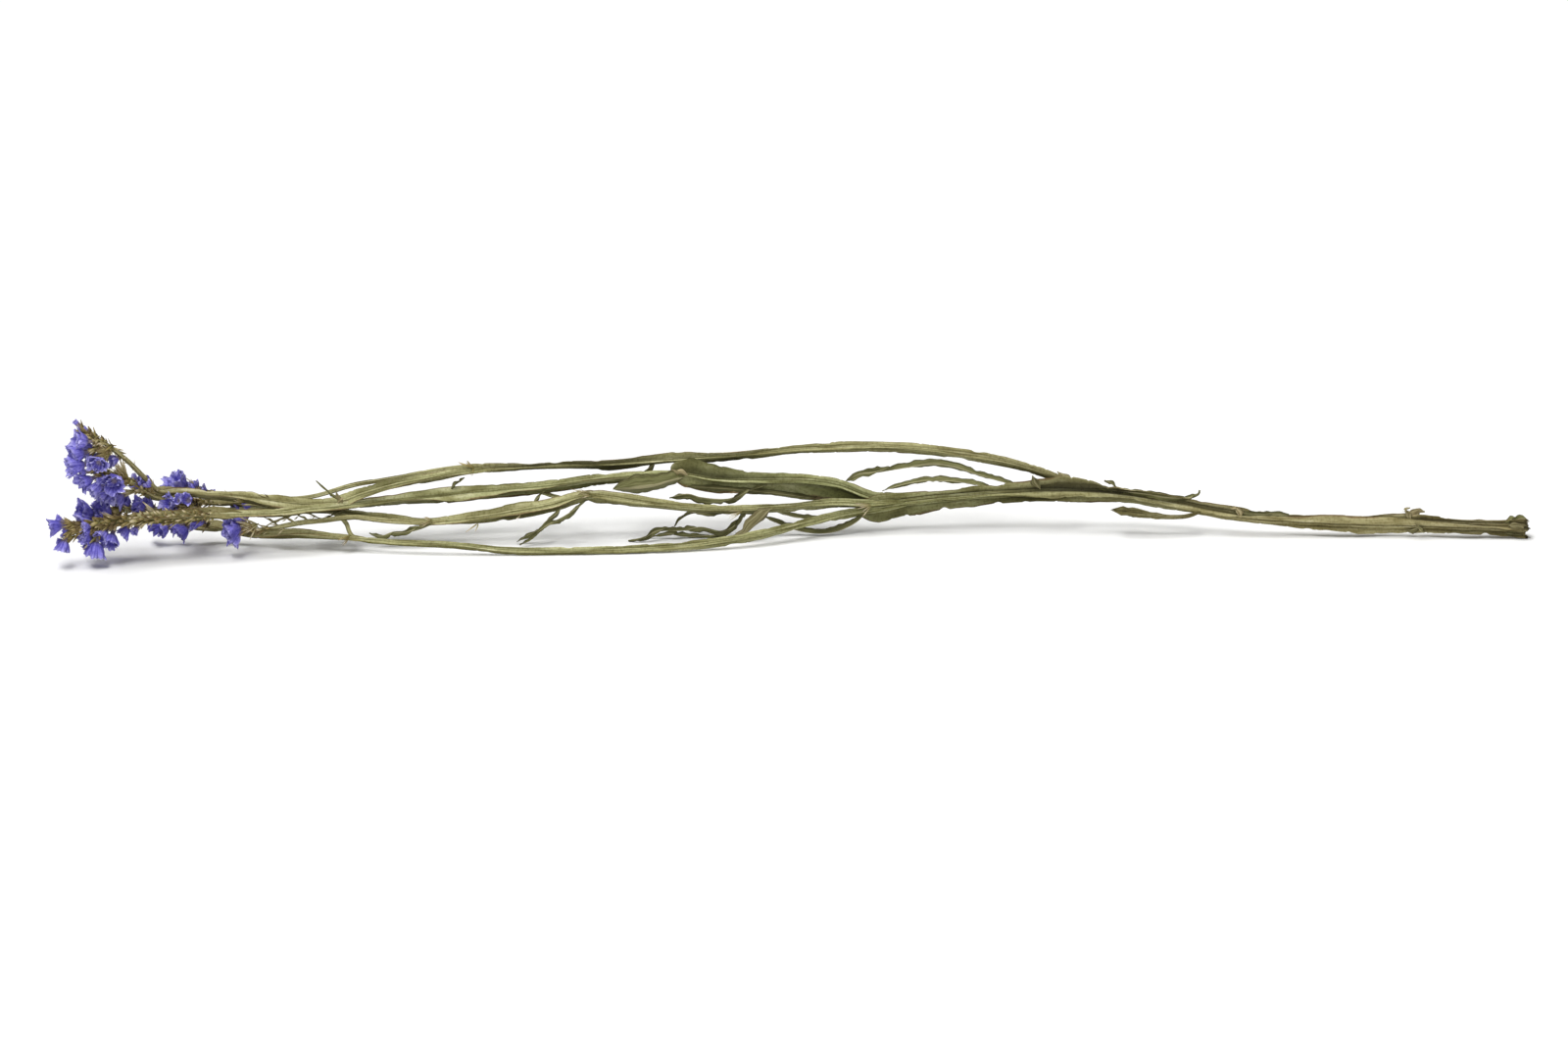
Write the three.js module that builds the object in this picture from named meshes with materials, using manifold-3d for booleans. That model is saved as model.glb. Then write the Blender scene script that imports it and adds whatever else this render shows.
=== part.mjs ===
// A dried statice: one branched flowering stem, cut, dried and laid on its side. The cut end is at
// the right (+X), the papery violet calyces are at the left (-X), and the whole spray lies on z = 0.
// Millimetres, +Z up. Every stem, leaf and flower spray follows a route of its own, drawn from the
// cut end towards the flowers, so its near side is -Y and its far side is +Y.
import * as THREE from "three";
import { mergeVertices } from "three/addons/utils/BufferGeometryUtils.js";
import Module from "manifold-3d";

const wasm = await Module();
wasm.setup();

// ------------------------------------------------------------------ driving dimensions
const ORIGIN = [0.85, 15.68, 0]; // the middle of the footprint, in the frame that the routes are drawn in
const GAP = 0.3; // clearance between two neighbours that touch
const STEM_STEP = 9; // spacing of the cross-sections of a stem
const LEAF_STEP = 4.5; // spacing of the cross-sections of a leaf
const BLADE = 0.7; // thickness of a leaf
const WAVE_LENGTH = 19; // from one crest of a waved edge to the next
const VALLEY = 0.75; // depth of the grooves between the wings, in radii of the stem's middle
const RAGGED = 0.14; // how much a wing's width comes and goes along it
const LEAF_WAVE = 0.5; // height of the waves in a leaf's edges, but no more than LEAF_RISE
const LEAF_RISE = 0.25; // in half widths
const WING_LAG = 2; // by how much of a wave, in radians, one wing's ripples run behind the last one's
const WING_SWELL = 1.5; // how much further a stem is fattened between its wings than on them
const CORE_TAPER = 0.7; // how thick the core of a head is at its tip, for 1 at its foot
const CALYX_SIDES = 10; // five lobes and the five notches between them
const CALYX_DEPTH = 1.25; // length of a calyx's bell, in radii of its rim
const CALYX_FOOT = 1.1; // radius of the bundle of bracts where a calyx leaves the axis
const CALYX_WAIST = 1.6; // radius where that bundle ends and the bell starts
const CALYX_LOBE = 0.16; // how far the notches between the lobes are set back, in radii of the rim
const CALYX_HOLLOW = 0.6; // depth of the bell's hollow, in lengths of the bell
const SCALE_RADIUS = 2; // of the pointed bracts along the axis
const SCALE_FORWARD = 7; // how far a bract's tip is beyond its root, along the axis
const SCALE_OUT = 3; // how far its tip stands out past the core of bracts
const SCALE_SPACING = 4.6; // between two of them
const GOLDEN_ANGLE = 2.4; // from one to the next, round the axis, in radians
const MERGE = 1e-4; // vertices closer than this are one
const FLOOR_SIZE = [2000, 2000, 20]; // of the block that trims what would dip below z = 0
const BROKEN_TWIG = "broken_twig"; // the only stem that has gone brown

// ------------------------------------------------------------------ colours and finishes
const finish = (color, roughness) => new THREE.MeshStandardMaterial({ color, roughness, metalness: 0 });
const STEM_GREEN = finish(0x8a8a5c, 0.8);
const LEAF_GREEN = finish(0x666a44, 0.85);
const CALYX_VIOLET = finish(0x6a66c4, 0.75);
const TWIG_BROWN = finish(0x77704c, 0.85);

// ------------------------------------------------------------------ stems and their branches
// core is the radius of the round middle at the start and at the end. The four wings stand out of
// it; each list gives a wing's reach from the middle, at even spaces along the route.
const STEMS = {
  main_stem: {
    route: [
      [325, 0, 4.5], [299, 2, 5.3], [275, 5, 5.8], [248, 8, 6], [222, 11, 7], [198, 14, 8.9],
      [171, 21, 12.9], [146, 26, 16], [122, 28, 17.2], [99, 30, 16.3], [68, 30, 14.6], [37, 30, 11.6],
    ],
    core: [2.4, 1.9],
    near: [3.8, 3.2, 2.8, 2.8, 2.4, 2.6, 3.2, 3.4, 2.6, 2.6, 3.4],
    up: [3.2, 2.6, 3.6, 3, 2.4, 3.6, 4, 5.2, 2.6, 3.4, 4.6],
    far: [3.6, 3, 3, 2.6, 2.4, 3, 3.4, 3.4, 2.6, 3, 3.6],
    down: [5, 4.4, 3.4, 4.2, 2.5, 2.8, 4, 5, 4, 4.8, 7],
  },
  arch_branch: {
    route: [
      [125, 31, 20.4], [108, 34, 26.6], [90, 36, 30.8], [65, 38, 34.3], [39, 40, 36.1], [9, 42, 34.8],
      [-21, 43, 32.4], [-51, 44, 30.5], [-81, 44, 29.2], [-112, 42, 29], [-137, 40, 29.1],
    ],
    core: [1.3, 1.2],
    near: [1.6, 1.8, 1.9, 1.7, 1.8, 1.6],
    up: [1.4, 2, 2.4, 2, 1.9, 2, 2.1, 1.6, 1.5, 2.4],
    far: [1.6, 1.8, 1.8, 1.7, 1.7, 1.6],
    down: [1.5, 2, 2.4, 2, 1.9, 2, 2.1, 1.6, 1.8, 2.8],
  },
  upper_branch: {
    route: [[40, 31, 14], [24, 33, 20.4], [8, 35, 22.4], [-13, 37, 22.3], [-30, 38, 22.8], [-46, 39, 25.5]],
    core: [1.6, 1.4],
    near: [2.2, 2, 2, 2.2, 1.8],
    up: [2.5, 2.4, 2.1, 2.1, 2.4, 4, 6, 3.6],
    far: [2.2, 2, 2, 2.2, 1.8],
    down: [3, 4.4, 6.4, 6.6, 5.2, 4.8, 5, 4.4],
  },
  middle_branch: {
    route: [
      [40, 28.5, 12.5], [21, 25, 14.6], [-1, 22, 14], [-20, 20, 13.6], [-44, 20, 14.9], [-66, 22, 17.5],
      [-88, 24, 20.5],
    ],
    core: [1.5, 1.3],
    near: [2, 2, 1.8, 2],
    up: [2, 2.2, 2.2, 2.2, 2.3, 3.2, 1.9],
    far: [2, 1.8, 1.8, 1.8],
    down: [2, 2.2, 2.2, 2.3, 2.3, 3, 1.9],
  },
  low_branch: {
    route: [
      [40, 28.5, 10], [21, 24, 8.6], [5, 17, 6.8], [-11, 10, 5], [-28, 5, 3.5], [-46, 2, 2.4],
      [-72, 0, 1.6], [-97, 0, 1.5], [-123, 1, 2.2], [-149, 4, 4.3], [-174, 8, 5], [-193, 12, 6.1],
    ],
    core: [1.4, 1],
    near: [1.9, 1.9, 1.8, 1.5, 1.3],
    up: [2, 2.2, 2.2, 1.9, 1.6, 1.4],
    far: [1.8, 1.8, 1.8, 1.5, 1.3],
    down: [2, 2.2, 2.2, 2, 1.8, 1.4],
  },
  broken_twig: {
    route: [
      [185, 17, 10.5], [177, 14, 8.8], [170, 13, 8.6], [162, 13, 9.4], [153, 14, 10.6], [144, 16, 11.6],
    ],
    core: [0.9, 1.2],
    near: [1, 1, 1.6],
    up: [1, 1, 1.1, 1.8],
    far: [1, 1, 1.6],
    down: [1, 1, 1.1, 1.8],
  },
};

// ------------------------------------------------------------------ flower sprays
// Each spray is a thin green stalk that ends in one or two heads. A head is an axis (rachis) with
// its bracts and calyces: bulk is the radius of the core that its pressed bracts make. A calyx is
// [place along the axis from 0 to 1, how far the middle of its rim lies from that place in x, y
// and z, radius of the rim].
const SPRAYS = {
  back: {
    stalk: [
      [-136, 40.6, 30], [-155, 39, 28.4], [-172, 37, 26.1], [-190, 35, 23.9], [-209, 32, 19.7],
      [-222, 30, 19.6], [-242, 28, 21.8],
    ],
    core: [1, 0.8],
    wings: [1.3, 1.2, 1.2, 1.1, 1],
    heads: {
      back: {
        bulk: 1.5,
        rachis: [[-242, 28, 21.8], [-251, 28, 22.9], [-259, 28, 23.9], [-266, 28, 24.6]],
        calyces: [
          [0.8, -8, -2, 6, 5], [0.55, -3, 3, 6, 3.8], [0.5, -9, 5, 2, 3.8], [0.3, -7, -3, 5, 3.4],
          [0.1, -6, 2, 4, 2.8], [0.7, -9, 6, -3, 3.8],
        ],
      },
    },
  },
  top: {
    stalk: [
      [-136, 39.4, 28.4], [-160, 35, 25.6], [-175, 31, 23.8], [-187, 27, 21.5], [-197, 24, 19],
      [-209, 20, 18.9], [-220, 18, 20.1], [-239, 16, 22.8], [-254, 14, 22.2], [-268, 12, 23.8],
      [-276, 11, 27.5],
    ],
    core: [1.2, 0.9],
    wings: [2.4, 2.2, 2.2, 2, 2.2, 2.4, 2.2, 1.5, 1.1],
    heads: {
      top: {
        bulk: 1.6,
        rachis: [[-276, 11, 27.5], [-281, 10, 33], [-290, 8, 44], [-299, 6, 52], [-308, 5, 58]],
        calyces: [
          [0.9, -8, -4, -4, 4.4], [0.84, -12, 1, -7, 4.6], [0.7, -19, 2, -8, 5.2], [0.66, -11, -6, -3, 4],
          [0.55, -11, -9, -2, 4.4], [0.8, -9, 7, -9, 4.2], [0.88, -7, 7, -3, 4.2], [0.6, -12, 5, -6, 4.2],
          [0.95, -5, 1, 4, 2],
        ],
      },
      under_top: {
        bulk: 1.8,
        rachis: [[-276, 12.5, 24.5], [-282, 9, 29.4], [-288, 7, 34.5], [-294, 6, 38]],
        calyces: [
          [0.85, -17, 2, -5, 4.8], [0.55, -9, -8, 2, 5], [0.4, -13, -3, -5, 4.6], [0.9, -12, 4, -7, 4.4],
          [0.25, -3, -5, 5, 3], [0.1, -4, -3, 7, 2.6], [0.4, -17, 4, -3, 4.6],
        ],
      },
    },
  },
  front: {
    stalk: [
      [-44.5, 39, 25.2], [-65, 39, 24.5], [-86, 39, 23.1], [-112, 38, 20.7], [-138, 35, 19.4],
      [-164, 30, 18.2], [-187, 25, 18], [-200, 18, 18.4], [-211, 13, 19], [-223, 9, 18.8],
      [-239, 6, 19.2], [-254, 4, 20],
    ],
    core: [1.3, 0.9],
    wings: [1.6, 2.2, 2.6, 3, 2.8, 2.4, 1.9, 1.6, 1.5, 1.5, 1.5],
    heads: {
      front: {
        bulk: 2.2,
        rachis: [[-254, 4, 20], [-270, 2, 20], [-287, -2, 21], [-305, -4, 20.4], [-312, -4, 19.7]],
        calyces: [
          [1, -11, -1, -1, 4.4], [0.95, -9, 4, 3, 4.4], [0.93, -12, -3, -9, 3.8], [0.84, -7, -8, -2, 4.4],
          [0.66, -9, -6, -8, 4.4], [0.58, -8, -7, -9, 4.2], [0.7, -11, -2, -14, 4.8],
          [0.42, -8, -6, -6, 3.8], [0.35, -8, -2, -7, 3.4], [0.68, -5, 4, -10, 4.4],
          [0.9, -4, 3, -9, 3.8], [0.5, -6, 1, -9, 3.8],
        ],
      },
    },
  },
  inner: {
    stalk: [
      [-86.5, 24, 20.2], [-104, 24, 16.8], [-122, 24, 14], [-139, 24, 11.2], [-157, 24, 9.3],
      [-175, 24, 11.4], [-190, 25, 13.2], [-201, 26, 14.5], [-216, 25, 15.5], [-234, 23, 16.8],
      [-251, 21, 17.2], [-264, 18, 18.3], [-275, 15, 19.7],
    ],
    core: [1.3, 0.9],
    wings: [1.8, 3.2, 3.6, 2.6, 1.8, 1.6, 1.8, 1.6, 1.4, 1.2, 1.1],
    heads: {
      inner: {
        bulk: 1.8,
        rachis: [[-275, 15, 19.7], [-282, 14, 19.9], [-290, 13, 20.3], [-297, 12, 20.9]],
        calyces: [
          [0.9, -15, -3, 1, 4.8], [0.6, -14, -6, 3, 4.4], [0.2, -6, -8, 4, 4.4], [0.2, -9, -2, 5, 3.6],
          [0.8, -11, 5, -3, 4.4], [0.9, -12, 0, -5, 4.6], [0.4, -9, -2, -6, 4],
        ],
      },
    },
  },
  hidden: {
    stalk: [
      [-86.5, 25.5, 20.8], [-92, 29, 18.3], [-100, 36, 16.5], [-108, 42, 17.5], [-122, 44, 19],
      [-140, 42.5, 18], [-160, 39.5, 16.8], [-175, 37, 15.8], [-190, 35, 14.8], [-203, 33, 14],
      [-215, 30, 14.8],
    ],
    core: [0.8, 0.7],
    wings: [1, 1.2, 1.2, 1],
    heads: {
      hidden: {
        bulk: 1.3,
        rachis: [[-215, 30, 14.8], [-222, 27.5, 15.8], [-230, 25, 17]],
        calyces: [[0.9, -13, -1, 0, 4.4], [0.7, -14, 2, -4, 4.2], [0.6, -12, 4, 3, 3.8]],
      },
    },
  },
  side: {
    stalk: [
      [-157, 23, 9.3], [-175, 19, 11.4], [-192, 17, 14.1], [-204, 14, 13.7], [-213, 12, 13.6],
      [-223, 10, 12.5], [-229, 9, 11.8],
    ],
    core: [0.9, 0.8],
    wings: [1.3, 1.4, 1.3, 1.1],
    heads: {
      side: {
        bulk: 1.8,
        rachis: [[-229, 9, 11.8], [-233, 9, 11.5], [-237, 8, 11.3]],
        calyces: [[0.9, -12, -4, 2, 5], [0.7, -11, -4, -3, 4.8], [0.5, -10, 4, 0, 4.2]],
      },
    },
  },
  floor: {
    stalk: [
      [-191.5, 11.8, 6], [-208, 14, 7.1], [-217, 18, 6.7], [-225, 22, 5.8], [-234, 26, 5.3], [-242, 29, 6],
      [-252, 31, 7],
    ],
    core: [1, 0.8],
    wings: [1.4, 1.5, 1.6, 1.4, 1.1],
    heads: {
      floor: {
        bulk: 1.5,
        rachis: [[-252, 31, 7], [-261, 31, 7.6], [-268, 31, 7.9]],
        calyces: [
          [0.9, -10, -3, -2, 4.4], [0.5, -7, -5, -4, 4.6], [0.3, -9, 3, -4, 4.4], [0.1, -5, -6, 3, 3.4],
          [0.9, -9, 4, -2, 4.4],
        ],
      },
    },
  },
  middle: {
    stalk: [
      [-191.5, 12.5, 6.6], [-194, 18, 10.9], [-198, 22, 14.2], [-206, 25, 17.1], [-225, 25, 18.3],
      [-238, 24, 19.3], [-247, 22, 20.2],
    ],
    core: [0.8, 0.7],
    wings: [1, 1.1, 1.1, 1],
    heads: {
      middle: {
        bulk: 1.7,
        rachis: [[-247, 22, 20.2], [-253, 21, 20.8], [-261, 19, 21.9]],
        calyces: [[0.9, -12, -6, 2, 5], [0.6, -9, -5, 5, 4.4], [0.8, -11, 1, -3, 4.2], [0.5, -10, 0, 5, 4]],
      },
    },
  },
};

// ------------------------------------------------------------------ leaves
// width runs along the leaf from its root to its tip. roll turns the blade about its own length, in
// degrees: at 0 it lies flat, at 90 it stands on edge.
const LEAVES = {
  leaf_arch_long: {
    route: [
      [104, 31, 19], [87, 33, 23.7], [75, 34, 27.7], [66, 34, 29.2], [53, 35, 27.4], [41, 35, 25.4],
      [33, 36, 25.7], [28, 36, 23.1],
    ],
    width: [1.8, 3, 4, 3.6, 4, 2.6, 3.4, 1.2],
    roll: [30, 60, 80, 70, 75, 20, 80, 120],
  },
  leaf_arch_short: {
    route: [[94, 30.5, 18], [79, 32, 21.1], [68, 32, 22.1], [59, 32, 21.8], [50, 32, 20], [43, 32, 17.8]],
    width: [1.4, 2.4, 3, 3, 2.6, 1.2],
    roll: [20, 50, 80, 60, 100, 90],
  },
  leaf_fork_long: {
    route: [
      [35, 28, 9.4], [32, 26, 6.2], [23, 24, 2.2], [14, 24, 1.2], [5, 25, 2.5], [-3, 26, 5.4],
      [-10, 27, 8.6],
    ],
    width: [1.6, 3, 3.4, 3.4, 3, 2.6, 1.2],
    roll: [60, 40, 20, 10, 30, 60, 80],
  },
  leaf_fork_back: {
    route: [[39, 30.5, 9.5], [30, 34, 4.4], [22, 36.5, 1], [13, 37, 0.5], [4, 36, 2.6], [-5, 34, 7]],
    width: [1.6, 2.8, 3.2, 3.2, 2.8, 1.2],
    roll: [60, 30, 5, 0, 30, 70],
  },
  leaf_node_broad: {
    route: [[-6, 19, 12.4], [-14, 17, 9.8], [-20, 16, 6.8], [-24, 14, 4.4], [-28, 12.5, 3.2]],
    width: [2.4, 6, 5.4, 3.6, 1.2],
    roll: [70, 75, 70, 60, 50],
  },
  leaf_node_wavy: {
    route: [
      [-18, 21, 11.6], [-23, 21, 5.8], [-29, 20, 4], [-38, 20, 5.9], [-46, 20, 4.7], [-57, 21, 4.2],
      [-64, 19, 1.8], [-70, 19, 0.8],
    ],
    width: [2, 3, 3, 3.4, 3.4, 3.2, 2.4, 1],
    roll: [80, 70, 50, 70, 40, 60, 40, 10],
  },
  leaf_node_dark: {
    route: [
      [-18, 21.5, 12.6], [-21, 24, 6], [-27, 24, 2], [-37, 24, 0.9], [-45, 24, 0.9], [-52, 25, 1.9],
      [-60, 25, 0.8],
    ],
    width: [1.6, 2.6, 2.6, 2.6, 2.4, 2.4, 1],
    roll: [80, 60, 30, 10, 20, 40, 10],
  },
  leaf_node_curved: {
    route: [
      [-20, 21, 13], [-29, 26, 11.2], [-36, 27, 10.7], [-42, 28, 10.1], [-47, 28, 7.2], [-49, 27, 4.7],
    ],
    width: [1.4, 2, 2.4, 2.4, 2.2, 1],
    roll: [30, 50, 70, 60, 80, 90],
  },
  leaf_twisted: {
    route: [
      [-8, 35.5, 20.4], [-14, 32, 19.8], [-19, 31, 17.8], [-25, 31, 15.6], [-37, 32, 16.2], [-43, 32, 17.9],
      [-51, 31, 16.7],
    ],
    width: [1, 1.2, 2, 3, 3, 2.6, 1.4],
    roll: [90, 90, 60, 100, 150, 220, 270],
  },
  leaf_fold: {
    route: [[-45, 37.5, 25], [-51, 34.5, 24.4], [-56, 33, 22.8], [-67, 31, 20.6], [-75, 30, 21.3]],
    width: [2.4, 4.4, 5.4, 4.6, 1.2],
    roll: [80, 85, 80, 70, 60],
  },
  leaf_hanging: {
    route: [[-56, 44, 29.4], [-60, 44.5, 26.2], [-64, 44.5, 23.2], [-67, 44, 20.3]],
    width: [1.4, 2.4, 2.2, 1],
    roll: [60, 80, 90, 90],
  },
  leaf_loop_light: {
    route: [
      [-88, 22, 19], [-92, 18, 16.6], [-98, 17, 12.9], [-104, 17, 9.7], [-109, 16, 6.4], [-111, 16, 4.4],
      [-114, 15, 2.5], [-118, 14, 1.2],
    ],
    width: [1.4, 1.8, 3, 3.2, 2, 2.8, 2.6, 1],
    roll: [60, 60, 70, 60, 110, 60, 40, 10],
  },
  leaf_loop_dark: {
    route: [
      [-99, 22, 16.4], [-101, 20.5, 13.4], [-106, 20, 9.9], [-109, 20, 6.5], [-115, 19.5, 3.6],
      [-119, 19, 1.2],
    ],
    width: [1.4, 2, 2.8, 2, 2.6, 1],
    roll: [70, 70, 60, 100, 50, 10],
  },
  leaf_under: {
    route: [[-89, 26, 18.4], [-84, 28, 16.4], [-79, 28.5, 15.6], [-73, 28, 14.9]],
    width: [1.2, 2.2, 2, 1],
    roll: [50, 70, 80, 70],
  },
  leaf_inner_short: {
    route: [[-105, 36.5, 20.6], [-109, 33, 17], [-112, 31, 14.6]],
    width: [1.2, 1.8, 0.9],
    roll: [80, 90, 90],
  },
  leaf_arch_end: {
    route: [[-141, 37, 26], [-143, 36, 24.6], [-145, 35, 23.6], [-147, 34, 21.6]],
    width: [1.2, 2, 1.8, 0.9],
    roll: [80, 90, 80, 90],
  },
  leaf_lower: {
    route: [
      [-156, 22.5, 9], [-162, 18, 7.9], [-168, 17, 7], [-173, 17, 7.1], [-179, 16, 5.6], [-184, 16, 7],
    ],
    width: [1.4, 2, 2.6, 2.2, 2.6, 1],
    roll: [70, 60, 80, 110, 70, 60],
  },
  leaf_strand: {
    route: [[-158, 24.6, 9], [-171, 28, 9.4], [-182, 28.5, 10.3], [-191, 29, 11]],
    width: [1.2, 1.6, 1.6, 1],
    roll: [80, 80, 80, 80],
  },
  leaf_rest_lower: {
    route: [[197, 14, 10.8], [204, 13, 12.3], [212, 11, 11.8], [221, 9, 11.2]],
    width: [1.6, 2, 2.2, 3],
    roll: [60, 50, 60, 70],
  },
  leaf_rest_upper: {
    route: [[140, 29, 20], [148, 28.6, 20], [158, 26, 19], [168, 23, 17.4], [178, 20.5, 15.4]],
    width: [2, 2.4, 2.2, 2.2, 3],
    roll: [60, 50, 60, 70, 100],
  },
  leaf_thorn: {
    route: [[-196, 23.5, 20], [-199, 22, 22.6], [-202, 21, 25.5], [-207, 19, 30.5]],
    width: [1.6, 1.2, 0.9, 0.7],
    roll: [60, 60, 60, 60],
  },
};

// ------------------------------------------------------------------ solids from rings of points
const WORLD_UP = new THREE.Vector3(0, 0, 1);
const CONE_AXIS = new THREE.Vector3(0, 1, 0);
const vector = ([x, y, z]) => new THREE.Vector3(x, y, z);
const radians = THREE.MathUtils.degToRad;

// A value part-way along a list of evenly spaced ones.
function listAt(list, t) {
  const place = t * (list.length - 1);
  const first = Math.min(Math.floor(place), list.length - 2);
  return THREE.MathUtils.lerp(list[first], list[first + 1], place - first);
}

// Two directions across the one that a thing runs in: to its side, level, and upwards.
function across(along) {
  const side = new THREE.Vector3().crossVectors(WORLD_UP, along).normalize();
  const up = new THREE.Vector3().crossVectors(along, side);
  return { side, up };
}

// Rings of points, closed by a fan at both ends. The second half of a ring is split the other way,
// so that the two faces of a thin blade have the same creases and can't cross.
function skin(rings) {
  const count = rings[0].length;
  const points = rings.flat();
  const index = [];
  for (let ring = 0; ring + 1 < rings.length; ring++) {
    for (let k = 0; k < count; k++) {
      const a = ring * count + k;
      const b = ring * count + ((k + 1) % count);
      const c = a + count;
      const d = b + count;
      if (k < count / 2) index.push(a, b, d, a, d, c);
      else index.push(a, b, c, b, d, c);
    }
  }
  const last = (rings.length - 1) * count;
  for (const start of [0, last]) {
    const centre = points.length;
    const middle = new THREE.Vector3();
    for (const point of rings[start / count]) middle.addScaledVector(point, 1 / count);
    points.push(middle);
    for (let k = 0; k < count; k++) {
      const a = start + k;
      const b = start + ((k + 1) % count);
      if (start === 0) index.push(centre, b, a);
      else index.push(centre, a, b);
    }
  }
  const geometry = new THREE.BufferGeometry().setFromPoints(points);
  geometry.setIndex(index);
  return solid(geometry);
}

// A closed geometry as a solid that can be joined and cut. Where a ring shrinks to a point, the
// triangles that have no area left are dropped.
function solid(geometry) {
  for (const name of ["normal", "uv"]) geometry.deleteAttribute(name);
  const merged = mergeVertices(geometry, MERGE);
  const corners = Array.from(merged.index.array);
  const triVerts = [];
  for (let i = 0; i < corners.length; i += 3) {
    const triangle = corners.slice(i, i + 3);
    if (new Set(triangle).size === 3) triVerts.push(...triangle);
  }
  return new wasm.Manifold(
    new wasm.Mesh({
      numProp: 3,
      vertProperties: merged.getAttribute("position").array,
      triVerts: new Uint32Array(triVerts),
    }),
  );
}

// A section carried along a smooth route, and endSwell past both of its ends. section(t, distance)
// gives points [to the side, up].
function sweep(route, step, endSwell, section) {
  const curve = new THREE.CatmullRomCurve3(route.map(vector), false, "centripetal");
  const length = curve.getLength();
  const steps = Math.max(2, Math.round(length / step));
  const rings = [];
  for (let i = 0; i <= steps; i++) {
    const t = i / steps;
    const middle = curve.getPointAt(t);
    const along = curve.getTangentAt(t);
    const { side, up } = across(along);
    if (i === 0) middle.addScaledVector(along, -endSwell);
    if (i === steps) middle.addScaledVector(along, endSwell);
    const ring = section(t, t * length).map(([s, u]) =>
      middle.clone().addScaledVector(side, s).addScaledVector(up, u),
    );
    rings.push(ring);
  }
  return skin(rings);
}

const join = (solids) => solids.reduce((all, one) => all.add(one));

// ------------------------------------------------------------------ the kinds of piece
// Each kind can be made a little too fat, by swell, to cut room for itself in a neighbour.

// A stem: a round middle with three or four wings, whose width comes and goes in ripples.
function stem({ route, core, near, up, far, down }, swell) {
  const wings = [near, up, far, down].filter(Boolean);
  return sweep(route, STEM_STEP, swell, (t, distance) => {
    const middle = listAt(core, t);
    return wings.flatMap((wing, w) => {
      const angle = (w * 2 * Math.PI) / wings.length;
      const between = angle + Math.PI / wings.length;
      const wave = 1 + RAGGED * Math.sin((distance * 2 * Math.PI) / WAVE_LENGTH + WING_LAG * w);
      const reach = Math.max(listAt(wing, t) * wave, middle) + swell;
      const valley = middle * VALLEY + WING_SWELL * swell;
      return [
        [reach * Math.cos(angle), reach * Math.sin(angle)],
        [valley * Math.cos(between), valley * Math.sin(between)],
      ];
    });
  });
}

// A leaf: a thin blade that turns and waves along its length.
function leaf({ route, width, roll }, swell) {
  return sweep(route, LEAF_STEP, swell, (t, distance) => {
    const half = listAt(width, t) / 2 + swell;
    const thick = BLADE / 2 + swell;
    const turn = radians(listAt(roll, t));
    const phase = (distance * 2 * Math.PI) / WAVE_LENGTH;
    const lift = Math.min(LEAF_WAVE, half * LEAF_RISE);
    const left = lift * Math.sin(phase);
    const right = lift * Math.sin(phase + WING_LAG);
    const below = [[-half, left - thick], [half, right - thick]];
    const above = [[half, right + thick], [-half, left + thick]];
    return [...below, ...above].map(([s, u]) => [
      s * Math.cos(turn) - u * Math.sin(turn),
      s * Math.sin(turn) + u * Math.cos(turn),
    ]);
  });
}

// A bract: a three-sided spike from one point to another.
function bract(from, to, radius, swell) {
  const along = to.clone().sub(from);
  const height = along.length() + 2 * swell;
  const cone = new THREE.ConeGeometry(radius + swell, height, 3);
  cone.translate(0, height / 2 - swell, 0);
  cone.applyQuaternion(new THREE.Quaternion().setFromUnitVectors(CONE_AXIS, along.normalize()));
  cone.translate(from.x, from.y, from.z);
  return solid(cone);
}

// Where a head's calyces stand: the foot on the axis, the middle of the rim, and where the violet
// funnel starts.
function calyxPlaces(head) {
  const curve = new THREE.CatmullRomCurve3(head.rachis.map(vector), false, "centripetal");
  return head.calyces.map(([t, x, y, z, radius]) => {
    const foot = curve.getPointAt(t);
    const rim = foot.clone().add(new THREE.Vector3(x, y, z));
    const along = rim.clone().sub(foot).normalize();
    const start = rim.clone().addScaledVector(along, -CALYX_DEPTH * radius);
    return { foot, rim, along, start, radius };
  });
}

// A papery calyx: a foot wrapped in bracts, then a pleated bell with five lobes, open at the rim.
function calyx({ foot, along, start, rim, radius }, swell) {
  const { side, up } = across(along);
  const ring = (middle, forward, size, lobe) =>
    Array.from({ length: CALYX_SIDES }, (_, k) => {
      const angle = (k * 2 * Math.PI) / CALYX_SIDES;
      const notch = k % 2 ? lobe : 0;
      return middle
        .clone()
        .addScaledVector(along, forward - notch * size)
        .addScaledVector(side, size * (1 - notch) * Math.cos(angle))
        .addScaledVector(up, size * (1 - notch) * Math.sin(angle));
    });
  const depth = rim.distanceTo(start);
  return skin([
    ring(foot, -swell, CALYX_FOOT + swell, 0),
    ring(start, 0, CALYX_WAIST + swell, 0),
    ring(rim, swell, radius + swell, CALYX_LOBE),
    ring(start, (1 - CALYX_HOLLOW) * depth + 2 * swell, 0, 0),
  ]);
}

// The small bracts along a head's axis, each turned on from the last.
function scales({ rachis, bulk }, swell) {
  const axis = new THREE.CatmullRomCurve3(rachis.map(vector), false, "centripetal");
  const count = Math.round(axis.getLength() / SCALE_SPACING);
  return Array.from({ length: count }, (_, i) => {
    const from = axis.getPointAt((i + 0.5) / count);
    const along = axis.getTangentAt((i + 0.5) / count);
    const { side, up } = across(along);
    const to = from.clone().addScaledVector(along, SCALE_FORWARD);
    to.addScaledVector(side, (bulk + SCALE_OUT) * Math.cos(GOLDEN_ANGLE * i));
    to.addScaledVector(up, (bulk + SCALE_OUT) * Math.sin(GOLDEN_ANGLE * i));
    return bract(from, to, SCALE_RADIUS, swell);
  });
}

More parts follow.
